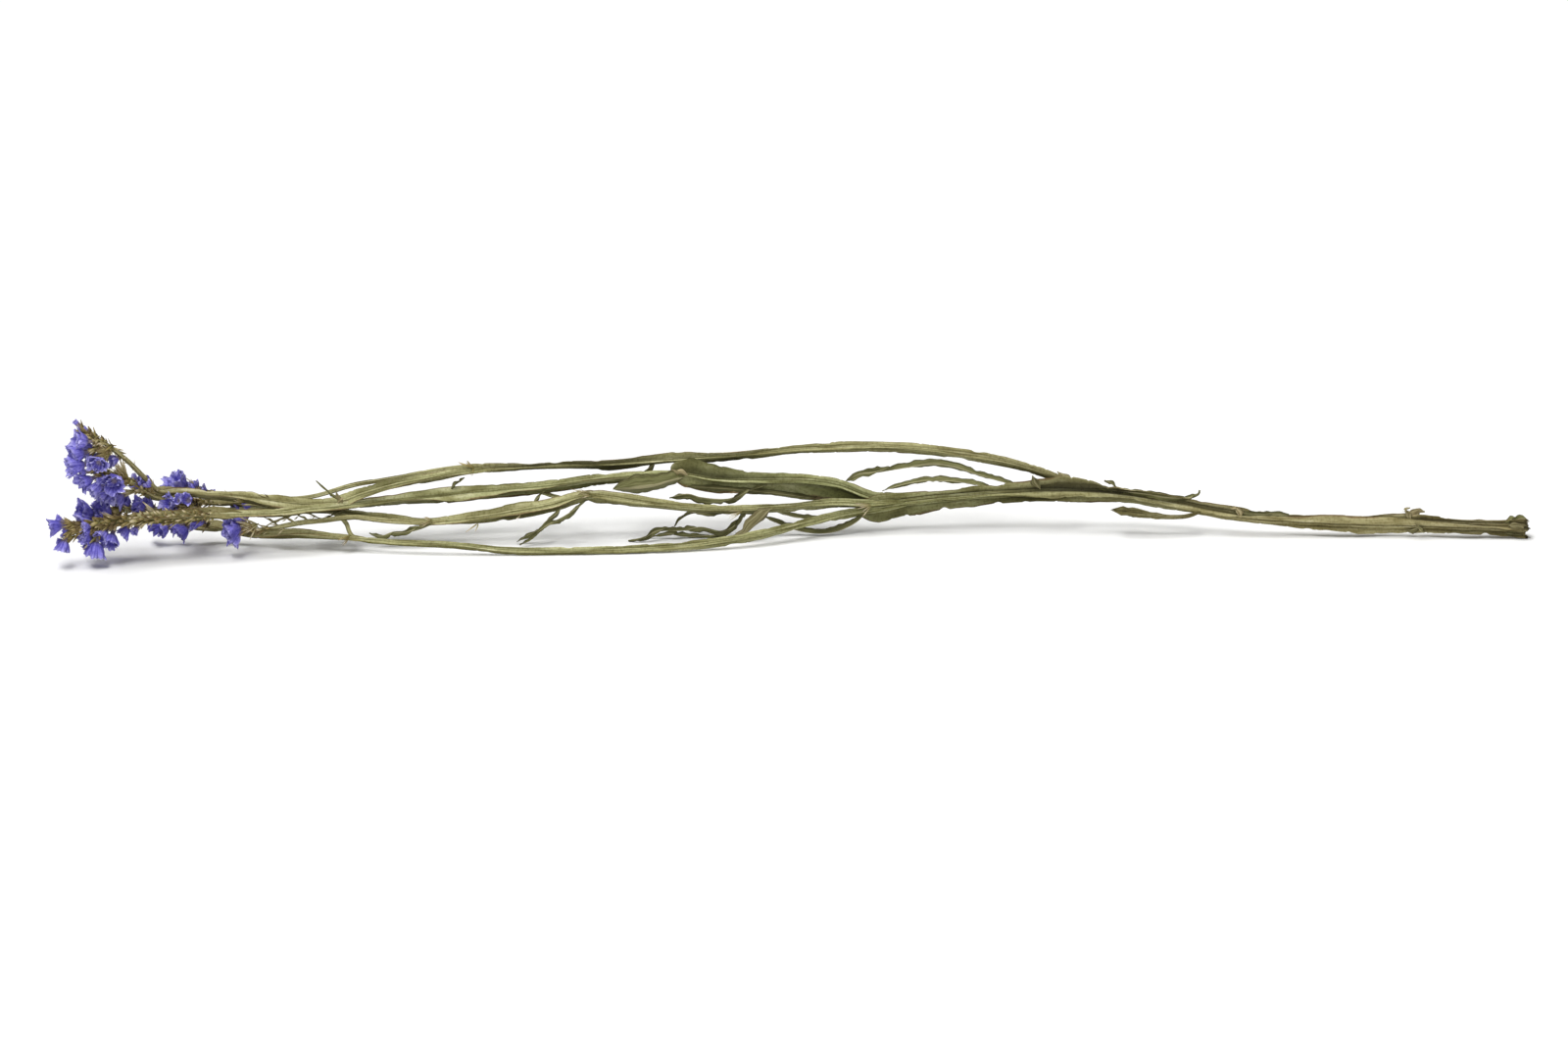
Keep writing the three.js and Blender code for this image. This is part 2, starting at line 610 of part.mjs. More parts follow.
// A flower head: the core of pressed bracts round its axis, the bracts that stand out of it, and a
// calyx at each place.
function flowerHead(head, swell) {
  const core = [head.bulk, head.bulk * CORE_TAPER];
  const axis = stem({ route: head.rachis, core, near: core, up: core, far: core }, swell);
  const calyces = calyxPlaces(head).map((place) => calyx(place, swell));
  return join([axis, ...scales(head, swell), ...calyces]);
}

// ------------------------------------------------------------------ the assembly
const statice = new THREE.Group();
const placed = [];
const floorBlock = new THREE.BoxGeometry(...FLOOR_SIZE);
floorBlock.translate(0, 0, -FLOOR_SIZE[2] / 2);
const belowFloor = solid(floorBlock);

const boxesMeet = (a, b) => [0, 1, 2].every((i) => a.min[i] <= b.max[i] && b.min[i] <= a.max[i]);

// Makes a piece, cuts it clear of what is already there and of the floor, and adds its mesh. A cut
// may part a leaf's or a calyx's tip from the rest, so the main body is the one that is kept.
function place(name, make, material) {
  let whole = make(0);
  for (const other of placed) {
    if (boxesMeet(whole.boundingBox(), other.boundingBox())) whole = whole.subtract(other);
  }
  if (whole.boundingBox().min[2] < 0) whole = whole.subtract(belowFloor);
  placed.push(make(GAP));
  const body = whole.decompose().reduce((best, one) => (one.volume() > best.volume() ? one : best));
  const { vertProperties, triVerts } = body.getMesh();
  const geometry = new THREE.BufferGeometry();
  geometry.setAttribute("position", new THREE.BufferAttribute(vertProperties, 3));
  geometry.setIndex(new THREE.BufferAttribute(triVerts, 1));
  geometry.translate(-ORIGIN[0], -ORIGIN[1], -ORIGIN[2]);
  geometry.computeVertexNormals();
  const mesh = new THREE.Mesh(geometry, material);
  mesh.name = name;
  statice.add(mesh);
}

for (const [name, sizes] of Object.entries(STEMS)) {
  place(name, (swell) => stem(sizes, swell), name === BROKEN_TWIG ? TWIG_BROWN : STEM_GREEN);
}
for (const [name, { stalk, core, wings }] of Object.entries(SPRAYS)) {
  const sizes = { route: stalk, core, near: wings, up: wings, far: wings };
  place(`stalk_${name}`, (swell) => stem(sizes, swell), STEM_GREEN);
}
for (const { heads } of Object.values(SPRAYS)) {
  for (const [name, head] of Object.entries(heads)) {
    place(`head_${name}`, (swell) => flowerHead(head, swell), CALYX_VIOLET);
  }
}
for (const [name, sizes] of Object.entries(LEAVES)) {
  place(name, (swell) => leaf(sizes, swell), LEAF_GREEN);
}

export default statice;
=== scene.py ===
"""A dried statice: one cut, branched flowering stem that lies on its side, its cut end to the right.

Its stems are winged and ridged, its leaves have dried into twisted straps, and each flower head is a
spike of tan bracts with papery violet calyces. Routes and sizes are in millimetres, and metres()
turns them into the frame that the CAD nodes are in.
"""

import math

import bpy
import numpy as np
from mathutils import Matrix, Vector


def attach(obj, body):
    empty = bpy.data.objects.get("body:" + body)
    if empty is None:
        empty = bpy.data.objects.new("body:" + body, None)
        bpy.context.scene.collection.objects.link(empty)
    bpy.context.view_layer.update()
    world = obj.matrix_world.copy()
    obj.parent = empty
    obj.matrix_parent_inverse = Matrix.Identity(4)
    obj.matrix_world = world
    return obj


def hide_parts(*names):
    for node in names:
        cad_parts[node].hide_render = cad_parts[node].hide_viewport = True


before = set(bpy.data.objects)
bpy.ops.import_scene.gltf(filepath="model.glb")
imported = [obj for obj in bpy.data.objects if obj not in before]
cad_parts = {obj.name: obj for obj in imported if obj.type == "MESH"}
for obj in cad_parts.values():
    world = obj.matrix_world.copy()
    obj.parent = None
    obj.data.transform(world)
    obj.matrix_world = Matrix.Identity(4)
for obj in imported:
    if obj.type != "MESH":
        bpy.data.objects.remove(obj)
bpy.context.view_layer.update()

# ------------------------------------------------------------------ camera
# A long lens, 15 degrees above the table and 4 degrees round towards the flowers, six metres off, so
# that near and far stems keep their sizes. It looks at the middle of the picture, on the spray.
CAMERA_ELEVATION = math.radians(15)
CAMERA_AZIMUTH = math.radians(-4)
CAMERA_DISTANCE = 6.0
PICTURE_WIDTH = 0.688  # of what the picture shows, where the spray lies
PICTURE_MIDDLE = (-0.0026, 0.0132)  # from the middle of the spray's foot, to the right and up
SENSOR = 36
FAR_CLIP = 20
ORIGIN = (0.85, 15.68, 0)  # the middle of the spray's foot, in the frame that the routes are drawn in

right = Vector((math.cos(CAMERA_AZIMUTH), math.sin(CAMERA_AZIMUTH), 0))
back = Vector((0, 0, 1)) * math.sin(CAMERA_ELEVATION)
back += Vector((0, 0, 1)).cross(right) * -math.cos(CAMERA_ELEVATION)
aim = right * PICTURE_MIDDLE[0] + back.cross(right) * PICTURE_MIDDLE[1] - Vector(ORIGIN) * 0.001
bpy.ops.object.camera_add(location=aim + back * CAMERA_DISTANCE)
camera = bpy.context.object
camera.rotation_euler = back.to_track_quat("Z", "Y").to_euler()
camera.data.sensor_width = SENSOR
camera.data.lens = SENSOR * CAMERA_DISTANCE / PICTURE_WIDTH
camera.data.clip_end = FAR_CLIP
bpy.context.scene.camera = camera
bpy.context.scene.view_settings.view_transform = "Standard"

# ------------------------------------------------------------------ table and light
# A white studio table in a white room. Soft lamps hang high and far off to the left, in front,
# overhead and behind, and a wide low one in front lightens what faces the camera.
TABLE_SIZE = 6
TABLE_WHITE = "#f4f4f3"
TABLE_ROUGHNESS = 0.9
ROOM_STRENGTH = 0.13
HIGH_LAMPS = (  # where from, how strong
    ((-1.65, -1.8, 4.35), 1.65),
    ((-1.3, 0.1, 4.35), 0.9),
    ((-1.2, 1.45, 4.35), 1.0),
)
HIGH_LAMP_SOFTNESS = 0.5  # how wide they look from the table, in radians
LOW_LAMP_PLACE = (-0.6, -3.4, 0.7)
LOW_LAMP_SIZE = 2.4
LOW_LAMP_POWER = 56


def linear(colour):
    """An sRGB hex colour as the linear colour that shaders take."""
    parts = [int(colour[i : i + 2], 16) / 255 for i in (1, 3, 5)]
    return (*[c / 12.92 if c <= 0.04045 else ((c + 0.055) / 1.055) ** 2.4 for c in parts], 1)


def add(tree, kind, settings=None, **links):
    """Adds a node to a material, with its settings and what its inputs are linked to."""
    node = tree.nodes.new("ShaderNode" + kind)
    for name, value in (settings or {}).items():
        if name in node.inputs:
            node.inputs[name].default_value = value
        else:
            setattr(node, name, value)
    for name, source in links.items():
        tree.links.new(source, node.inputs[name])
    return node


# White lacquered board: smooth, matte and even, so that it gives the eye nothing but the shadow.
board = bpy.data.materials.new("white lacquered board")
board.use_nodes = True
board.node_tree.nodes["Principled BSDF"].inputs["Base Color"].default_value = linear(TABLE_WHITE)
board.node_tree.nodes["Principled BSDF"].inputs["Roughness"].default_value = TABLE_ROUGHNESS

bpy.ops.mesh.primitive_plane_add(size=TABLE_SIZE)
table = bpy.context.object
table.name = "table"
table.data.materials.append(board)

world = bpy.data.worlds.new("white room")
world.use_nodes = True
world.node_tree.nodes["Background"].inputs["Color"].default_value = (1, 1, 1, 1)
world.node_tree.nodes["Background"].inputs["Strength"].default_value = ROOM_STRENGTH
bpy.context.scene.world = world

for place, strength in HIGH_LAMPS:
    bpy.ops.object.light_add(type="SUN", location=place)
    lamp = bpy.context.object
    lamp.data.energy = strength
    lamp.data.angle = HIGH_LAMP_SOFTNESS
    lamp.rotation_euler = Vector(place).to_track_quat("Z", "Y").to_euler()

bpy.ops.object.light_add(type="AREA", location=LOW_LAMP_PLACE)
lamp = bpy.context.object
lamp.data.size = LOW_LAMP_SIZE
lamp.data.energy = LOW_LAMP_POWER
lamp.rotation_euler = (Vector(LOW_LAMP_PLACE) - aim).to_track_quat("Z", "Y").to_euler()

# ------------------------------------------------------------------ stems and branches
# The stem and its branches are a round ribbed middle with four thin green wings, which dried
# ragged and rolled. A branch starts inside the stem that it grew from, and the twig is a dead one.

# Each list runs along the route at even spaces. core is the radius of the middle, and near, up, far
# and down are how far each wing reaches out. roll_... says, in degrees, how far that wing has rolled
# round: a plus sign turns it counter-clockwise, seen from the flowers. age runs from 0, dried green,
# to 1, straw. shade is how much painted shade darkens the low wing, and shade_up the upper one. deep
# is how dark the painted shade is in the groove in front of the upper wing, and dark how weathered
# it all is. cut is an end torn off.
STEMS = {
    "main_stem": {
        "route": [[325, 0, 4.5], [299, 2, 5.3], [275, 5, 5.8], [248, 8, 6], [222, 11, 7], [198, 14, 8.9],
          [171, 21, 12.9], [146, 26, 16], [122, 28, 17.2], [99, 30, 16.3], [68, 30, 14.6], [37, 30, 11.6],
          [32, 30, 11.6]],
        "core": [2.3, 2.2, 2.1, 2, 2, 2, 2, 1.9, 1.9, 1.9, 1.9],
        "near": [3.8, 3.2, 4.4, 4.8, 3.8, 2.6, 3.2, 3.4, 2.6, 2.6, 3.4],
        "up": [4.6, 4.6, 4.2, 4.4, 4.4, 4, 3.6, 3.4, 3.4, 4.4, 4.6, 5, 6, 8, 7.4, 5.2, 4.6, 5, 5.4, 6, 6],
        "far": [3.6, 3, 3, 2.6, 2.4, 3, 3.4, 3.4, 2.6, 3, 3.6],
        "down": [5, 5, 4.6, 4, 4.4, 5.4, 4.4, 3.2, 2.8, 3, 2.8, 3.6, 4, 4.6, 5, 4.5, 4.6, 6, 6.4, 7, 11],
        "roll_near": [-20, 10, 55, 55, 40, -40, -20, -40, -30, -20, 0],
        "roll_up": [0, -10, -30, 0, -20, -40, -40, -30, -40, -20, 0],
        "roll_down": [10, 30, 10, 35, 20, 10, 0, 10, 10, 0, 0],
        "age": [0.95, 0.85, 0.75, 0.75, 0.8, 0.7, 0.55, 0.5, 0.35, 0.25, 0.2],
        "shade": [0.6, 0.4, 0.2, 0.15, 0.3, 0.6, 0.7, 0.8, 0.8, 0.6, 0.5],
        "deep": [0.2, 0.2, 0.3, 0.4, 0.1, 0.1, 0.1, 0.1, 0.2, 0.5, 0.5, 0.5, 0.9, 1, 1, 0.4, 0.2, 0.2,
          0.1, 0.1, 0.1],
        "dark": [0, 0.3, 0, 0, 0, 0, 0, 0.1, 0.1, 0.1, 0.2], "cut": True,
    },
    "arch_branch": {
        "route": [[130, 30, 17.5], [125, 31, 20.4], [108, 34, 26.6], [90, 36, 30.8], [65, 38, 34.3],
          [39, 40, 36.1], [9, 42, 34.8], [-21, 43, 32.4], [-51, 44, 30.5], [-81, 44, 29.2],
          [-112, 42, 29], [-137, 40, 29.1], [-140, 39.8, 29]],
        "core": [1.3, 1.3, 1.2, 1.2, 1.2, 1.1], "near": [1.6, 1.8, 1.9, 1.7, 1.8, 1.6],
        "up": [1.4, 2.2, 2.6, 2.3, 2.3, 2.6, 3, 2.8, 2, 2.6], "far": [1.6, 1.8, 1.8, 1.7, 1.7, 1.6],
        "down": [1.5, 2.2, 2.6, 2.6, 2.6, 2.4, 2.8, 3, 2.2, 2.2],
        "roll_up": [0, -30, 20, 30, 0, -20, -20, -20, -40, 0],
        "roll_down": [0, 20, -20, -30, -20, -30, -20, -20, -40, 0],
        "age": [0.6, 0.6, 0.5, 0.45, 0.45, 0.4, 0.4, 0.45, 0.5],
        "shade": [0.9, 0.9, 0.6, 0.6, 0.9, 1, 1, 1, 1, 0.4],
        "deep": [0.1, 0.2, 0.1, 0, 0.1, 0.2, 0.3, 0.3, 0.4, 0.2],
        "dark": [0.2, 0.1, 0, 0, 0, 0, 0.1, 0.3, 0.4, 0.1],
    },
    "upper_branch": {
        "route": [[54, 30.6, 14.4], [40, 31, 14.6], [24, 33, 20.4], [8, 35, 22.4], [-13, 37, 22.3],
          [-30, 38, 22.8], [-46, 39, 25.5], [-50, 39, 25.6]],
        "core": [1.6, 1.5, 1.4, 1.3], "near": [2.2, 2, 2, 2.2, 1.8],
        "up": [3.5, 3.4, 2.8, 2.8, 3.2, 4.6, 6.6, 10], "far": [2.2, 2, 2, 2.2, 1.8],
        "down": [3, 4.4, 6.6, 7.6, 6.6, 5.6, 5.4, 6.4], "roll_up": [0, 20, 30, 20, 10, 0, 10, 0],
        "roll_down": [0, 10, 20, 30, 10, 10, 0, 0], "age": [0.15, 0.1, 0.1, 0.15, 0.25],
        "shade": [0.8, 1, 1, 0.7, 0.4, 0.2, 0.1, 0.1], "shade_up": [0, 0, 0, 0, 0.3, 0.6, 0.6, 0.5],
        "deep": [0, 0.2, 0.2, 0.1, 0.3, 0.4, 0.4, 0.1], "dark": [0.1, 0.1, 0.1, 0.1, 0, 0, 0, 0],
    },
    "middle_branch": {
        "route": [[54, 29.2, 13.4], [40, 28.3, 12.8], [21, 25, 14.6], [-1, 22, 14], [-20, 20, 13.6],
          [-44, 20, 14.9], [-66, 22, 17.5], [-88, 24, 20.5], [-92, 24, 19.8]],
        "core": [1.5, 1.4, 1.3, 1.1], "near": [2, 2, 1.8, 2], "up": [2, 2.2, 2.2, 2.2, 2.3, 3.2, 2.6],
        "far": [2, 1.8, 1.8, 1.8], "down": [2, 2.2, 2.4, 2.8, 3, 3.4, 3.4],
        "roll_up": [0, -30, -20, 20, 30, 10, 0], "roll_down": [0, 20, 20, -10, -40, -30, 0],
        "age": [0.2, 0.3, 0.4, 0.4, 0.5],
    },
    "low_branch": {
        "route": [[54, 29.4, 12], [40, 28.3, 10.6], [21, 24, 8.6], [5, 17, 6.8], [-11, 10, 5],
          [-28, 5, 3.5], [-46, 2, 2.4], [-72, 0, 1.6], [-97, 0, 1.5], [-123, 1, 2.2], [-149, 4, 4.3],
          [-174, 8, 5], [-193, 12, 6.1]],
        "core": [1.4, 1.3, 1.2, 1, 0.8], "near": [1.9, 1.9, 1.8, 1.5, 1.3],
        "up": [2, 2.2, 2.2, 1.9, 1.6, 1.4], "far": [1.8, 1.8, 1.8, 1.5, 1.3],
        "down": [2, 2.2, 2.2, 2, 1.8, 1.4], "age": [0.2, 0.25, 0.3, 0.3, 0.3, 0.4],
        "shade": [0.4, 0.3, 0.2, 0.2, 0.3, 0.5],
    },
    "broken_twig": {
        "route": [[144, 16, 11.6], [153, 14, 10.6], [162, 13, 9.4], [170, 13, 8.6], [177, 14, 8.8],
          [185, 17, 10.5]],
        "core": [0.3, 2.1, 1.3, 2, 1.2, 1.6, 1, 1.1, 0.9, 1, 0.9, 0.9], "near": [0.4, 2.2, 1.2, 1, 1],
        "up": [0.4, 2.4, 1.4, 1.2, 1, 1], "far": [0.4, 2, 1.2, 1, 1], "down": [0.4, 2.2, 1.4, 1.1, 1, 1],
        "age": [0.7], "dark": [0.9, 0.6, 0.4], "cut": True,
    },
}

SLICE = 0.8  # spacing of the cross-sections
WING_SPANS = (0, 0.3, 0.65, 1)  # where a wing's face has an edge, from its root to its rim
WING_RIM = 0.08  # half the thickness of a wing at its rim
WING_ROOT = 0.3  # half its thickness at its root, in radii of the middle
WING_START = 0.8  # where a wing's root lies, in radii of the middle
WING_LEAST = 1.05  # how far out a wing stays where it is torn or short, in radii
# Between two wings the middle has crests and hollows: how far round, from 0 to 1, and how far out,
# in radii.
RIBS = ((0.2, 0.84), (0.36, 1.04), (0.5, 0.9), (0.64, 1.04), (0.8, 0.84))
# Waves along a stem, each with its height and its spacing. The middle, its ribs and a wing's reach
# swell by a share, a wing rolls in radians, and its rim sways.
CORE_WAVES = ((0.06, 7),)
RIB_WAVES = ((0.05, 4),)
REACH_WAVES = ((0.1, 14), (0.05, 3.5))
ROLL_WAVES = ((0.55, 26),)
RIM_WAVES = ((0.08, 3.5), (0.2, 12))
TEARS = ((0.5, 6), (0.75, 1.3))  # a rim is torn where a wave of this spacing passes this height
TEAR_DEPTH = 0.5  # how much of its reach a tear takes
CUT_TORN = 1.5  # how far the cut end is torn to and fro, and how far along it goes
TAPER = 9  # a stem thins out over this, inside what it grew from and where its branches leave it
TAPER_LEAST = 0.3  # to this share of its thickness
GROOVE = 0.5  # how dark the painted shade is at a wing's root and in the hollows beside it
GIRTH = 2.2  # how far it is round a stem with its wings, in girths of its middle
FINE = 24  # points between two knots of a route, before it is measured off
SHARP_EDGE = math.radians(50)  # an edge that bends more than this isn't smoothed
WING_SHADE = 0.7  # how much painted shade darkens a low wing where it isn't given


def metres(points):
    """Places in millimetres in the frame of the routes, as metres in the frame of the CAD nodes."""
    return (np.asarray(points, float) - ORIGIN) * 0.001


def across(along):
    """Two directions across the one that a thing runs in: to its side, level, and upwards."""
    side = np.cross((0, 0, 1), along)
    side /= np.linalg.norm(side, axis=-1, keepdims=True)
    return side, np.cross(along, side)


def follow(route, spacing):
    """Points along a smooth curve through the route; the ways along, to the side and up at each; and
    how far on each is."""
    knots = np.array(route, float)
    knots = np.vstack([2 * knots[0] - knots[1], knots, 2 * knots[-1] - knots[-2]])
    t = np.linspace(0, 1, FINE, endpoint=False)[:, None]
    bits = []
    for a, b, c, d in zip(knots, knots[1:], knots[2:], knots[3:]):
        ab, bc, cd = (math.sqrt(np.linalg.norm(q - p)) for p, q in ((a, b), (b, c), (c, d)))
        leave = ((b - a) / ab - (c - a) / (ab + bc) + (c - b) / bc) * bc
        arrive = ((c - b) / bc - (d - b) / (bc + cd) + (d - c) / cd) * bc
        near_b = (2 * t**3 - 3 * t**2 + 1) * b + (t**3 - 2 * t**2 + t) * leave
        near_c = (3 * t**2 - 2 * t**3) * c + (t**3 - t**2) * arrive
        bits.append(near_b + near_c)
    curve = np.vstack([*bits, knots[-2:-1]])
    far = np.concatenate([[0], np.cumsum(np.linalg.norm(np.diff(curve, axis=0), axis=1))])
    distance = np.linspace(0, far[-1], max(3, round(far[-1] / spacing)) + 1)
    points = np.stack([np.interp(distance, far, axis) for axis in curve.T], axis=1)
    along = np.gradient(points, axis=0)
    along = along / np.linalg.norm(along, axis=1)[:, None]
    return points, along, *across(along), distance


def evenly(values, count):
    """A list of values at even spaces, drawn out to more of them."""
    return np.interp(np.linspace(0, 1, count), np.linspace(0, 1, len(values)), values)


def ripple(rng, distance, spacing):
    """Smooth random ups and downs from -1 to 1, one every spacing along the distance."""
    place = distance / spacing
    first = np.floor(place).astype(int)
    heights = rng.uniform(-1, 1, first.max() + 2)
    blend = (1 - np.cos(np.pi * (place - first))) / 2
    return heights[first] * (1 - blend) + heights[first + 1] * blend


def waves(rng, distance, sizes):
    """Ripples added up, each with its height and its spacing."""
    return sum(height * ripple(rng, distance, spacing) for height, spacing in sizes)


def sheet(name, wide, long):
    """A flat sheet of faces, and how far across and how far along it each of its corners is."""
    bpy.ops.object.select_all(action="DESELECT")
    bpy.ops.mesh.primitive_grid_add(x_subdivisions=wide, y_subdivisions=long, size=1)
    piece = bpy.context.object
    piece.name = piece.data.name = name
    flat = np.empty(len(piece.data.vertices) * 3)
    piece.data.vertices.foreach_get("co", flat)
    flat = flat.reshape(-1, 3) + 0.5
    return piece, np.rint(flat[:, 0] * wide).astype(int), np.rint(flat[:, 1] * long).astype(int)


def shape(piece, places, **values):
    """Lays a sheet's corners at their places, joins the edges that meet and notes values on it."""
    piece.data.vertices.foreach_set("co", np.asarray(places, np.float32).ravel())
    for name, value in values.items():
        note = piece.data.attributes.new(name, "FLOAT", "POINT")
        note.data.foreach_set("value", np.asarray(value, np.float32))
    bpy.ops.object.mode_set(mode="EDIT")
    bpy.ops.mesh.select_all(action="SELECT")
    bpy.ops.mesh.remove_doubles(threshold=1e-6)
    bpy.ops.mesh.fill_holes(sides=0)
    bpy.ops.mesh.select_all(action="SELECT")
    bpy.ops.mesh.normals_make_consistent(inside=False)
    bpy.ops.object.mode_set(mode="OBJECT")
    bpy.ops.object.shade_smooth_by_angle(angle=SHARP_EDGE)
    return piece


def measure_off(piece, widths, lengths):
    """Gives a sheet's UV map real millimetres: round it and along it, for the fibres to follow."""
    uv = piece.data.uv_layers.active.data
    flat = np.empty(len(uv) * 2)
    uv.foreach_get("uv", flat)
    flat = flat.reshape(-1, 2)
    flat[:, 0] = np.interp(flat[:, 0], np.linspace(0, 1, len(widths)), widths)
    flat[:, 1] = np.interp(flat[:, 1], np.linspace(0, 1, len(lengths)), lengths)
    uv.foreach_set("uv", flat.ravel())


def turned(x, y, angle):
    """x and y turned round the route that they are measured from."""
    return x * np.cos(angle) - y * np.sin(angle), x * np.sin(angle) + y * np.cos(angle)


def stem(name, sizes, wings, seed):
    """A ribbed round middle with thin wings, rolled and ragged, as one closed skin."""
    rng = np.random.default_rng(seed)
    points, along, side, up, distance = follow(sizes["route"], SLICE)
    count = len(distance)

    def run(key, otherwise=0):
        """One of the stem's lists, drawn out along it."""
        return evenly(sizes.get(key, [otherwise]), count)

    ends = distance[::-1] if "cut" in sizes else np.minimum(distance, distance[::-1])
    thin = TAPER_LEAST + (1 - TAPER_LEAST) * np.clip(ends / TAPER, 0, 1) ** 0.7
    core = run("core") * thin * (1 + waves(rng, distance, CORE_WAVES))
    groove = GROOVE * np.minimum(1, core / 2)
    deep = run("deep")
    # painted shade on the low wing, and on the upper one where shade_up is given
    painted_shade = {"down": run("shade", WING_SHADE), "up": run("shade_up")}
    offsets, notes = [], []

    def corner(place, rim, hollow, shade):
        """Adds a corner of the cross-section, all along the stem."""
        offsets.append(place)
        notes.append([value + 0 * distance for value in (rim, hollow, shade)])

    for w, wing in enumerate(wings):
        start = 2 * math.pi * w / len(wings)
        # how much painted shade this wing takes
        shade = painted_shade.get(wing, 0)
        torn = sum(np.clip(ripple(rng, distance, spacing) - height, 0, 1) for height, spacing in TEARS)
        reach = run(wing) * (1 + waves(rng, distance, REACH_WAVES))
        reach = np.maximum(reach * thin * (1 - TEAR_DEPTH * torn), core * WING_LEAST)
        roll = np.radians(run("roll_" + wing)) + waves(rng, distance, ROLL_WAVES)
        sway = waves(rng, distance, RIM_WAVES)
        wide = np.clip((reach - core) / core, 0, 1)
        for face, spans in ((-1, WING_SPANS), (1, WING_SPANS[::-1])):
            for span in spans:
                out = core * WING_START + (reach - core * WING_START) * span
                thick = WING_RIM + (core * WING_ROOT - WING_RIM) * (1 - span) ** 1.6
                # painted shade at the wing's root, and on the upper wing's root in the groove in front of it
                dark = np.maximum(groove * (span == 0), deep * (1 - span) ** 1.2 * (wing == "up"))
                place = turned(out, face * thick + sway * span**2 * wide, start + roll * span)
                corner(place, span * wide, dark, shade)
        for spread, depth in RIBS:
            out = core * depth * (1 + waves(rng, distance, RIB_WAVES))
            # painted shade in the hollows between the ribs and in the groove in front of the upper wing; the
            # ribs after a shaded wing take part of its painted shade
            dark = np.maximum(groove * (depth < 0.9), deep * (wing == "near"))
            place = turned(out, 0, start + spread * 2 * math.pi / len(wings))
            corner(place, 0, dark, shade * (1 - spread / 2))
    offsets, notes = (np.array([*v, v[0]]) for v in (offsets, notes))
    piece, round_it, on = sheet(name, len(offsets) - 1, count - 1)
    out, over = offsets[round_it, 0, on][:, None], offsets[round_it, 1, on][:, None]
    places = points[on] + side[on] * out + up[on] * over
    if "cut" in sizes:
        torn = rng.uniform(-1, 1, len(offsets))[round_it] * np.exp(-distance[on] / CUT_TORN)
        places = places - along[on] * CUT_TORN * torn[:, None]
    places[:, 2] = np.maximum(places[:, 2], 0)
    measure_off(piece, np.linspace(0, GIRTH * core.mean() * 2 * math.pi, len(offsets)), distance)
    rim, hollow, shade = notes[round_it, :, on].T
    notes = {"rim": rim, "hollow": hollow, "shade": shade, "age": run("age")[on], "dark": run("dark")[on]}
    return shape(piece, metres(places), **notes)


# Dried winged stem: what was juicy green tissue has shrunk onto its fibres, so that it is matte, with
# pale straw ribs along it and greener wings with brown, broken rims. Painted shade darkens the hollows
# between the ribs, the wings' roots, the groove in front of the upper wing and the low wing.
PLANT_IOR = 1.45
PLANT_SPECULAR = 0.25


def ramp(tree, source, *stops):
    """A colour ramp with the given places and colours."""
    node = add(tree, "ValToRGB", Fac=source)
    while len(node.color_ramp.elements) < len(stops):
        node.color_ramp.elements.new(1)
    for element, (place, colour) in zip(node.color_ramp.elements, stops):
        element.position = place
        element.color = linear(colour)
    return node.outputs["Color"]


def noted(tree, name):
    """What a piece's attribute says at each place."""
    return add(tree, "Attribute", {"attribute_name": name}).outputs["Fac"]


def blend(tree, kind, amount, below, above):
    """Two colours mixed, each a socket or a hex colour; the amount is a socket or a number."""
    node = add(tree, "Mix", {"data_type": "RGBA", "blend_type": kind})
    for socket, value in ((node.inputs[0], amount), (node.inputs[6], below), (node.inputs[7], above)):
        if isinstance(value, bpy.types.NodeSocket):
            tree.links.new(value, socket)
        else:
            socket.default_value = linear(value) if isinstance(value, str) else value
    return node.outputs[2]


def fibres(tree, spacing, length, roughness=0.6):
    """Streaks along a piece, from its UV map in millimetres: from 0 to 1."""
    place = add(tree, "UVMap").outputs["UV"]
    drawn = add(tree, "Mapping", {"Scale": (1 / spacing, 1 / length, 1)}, Vector=place).outputs["Vector"]
    noise = add(tree, "TexNoise", {"Scale": 1, "Detail": 4, "Roughness": roughness}, Vector=drawn)
    return noise.outputs["Fac"]


def speckles(tree, in_a_metre):
    """Blotches all over a piece: from 0 to 1."""
    place = add(tree, "TexCoord").outputs["Object"]
    return add(tree, "TexNoise", {"Scale": in_a_metre, "Detail": 4}, Vector=place).outputs["Fac"]


def new_material(name, roughness):
    """A named material, and the tree and the shader that its nodes go to."""
    material = bpy.data.materials.new(name)
    material.use_nodes = True
    shader = material.node_tree.nodes["Principled BSDF"]
    shader.inputs["Roughness"].default_value = roughness
    shader.inputs["IOR"].default_value = PLANT_IOR
    shader.inputs["Specular IOR Level"].default_value = PLANT_SPECULAR
    return material, material.node_tree, shader


def surface(tree, shader, colour, height, depth):
    """Gives a shader its colour, and small relief with its depth in millimetres."""
    tree.links.new(colour, shader.inputs["Base Color"])
    node = add(tree, "Bump", {"Strength": 1, "Distance": depth * 0.001}, Height=height)
    tree.links.new(node.outputs["Normal"], shader.inputs["Normal"])


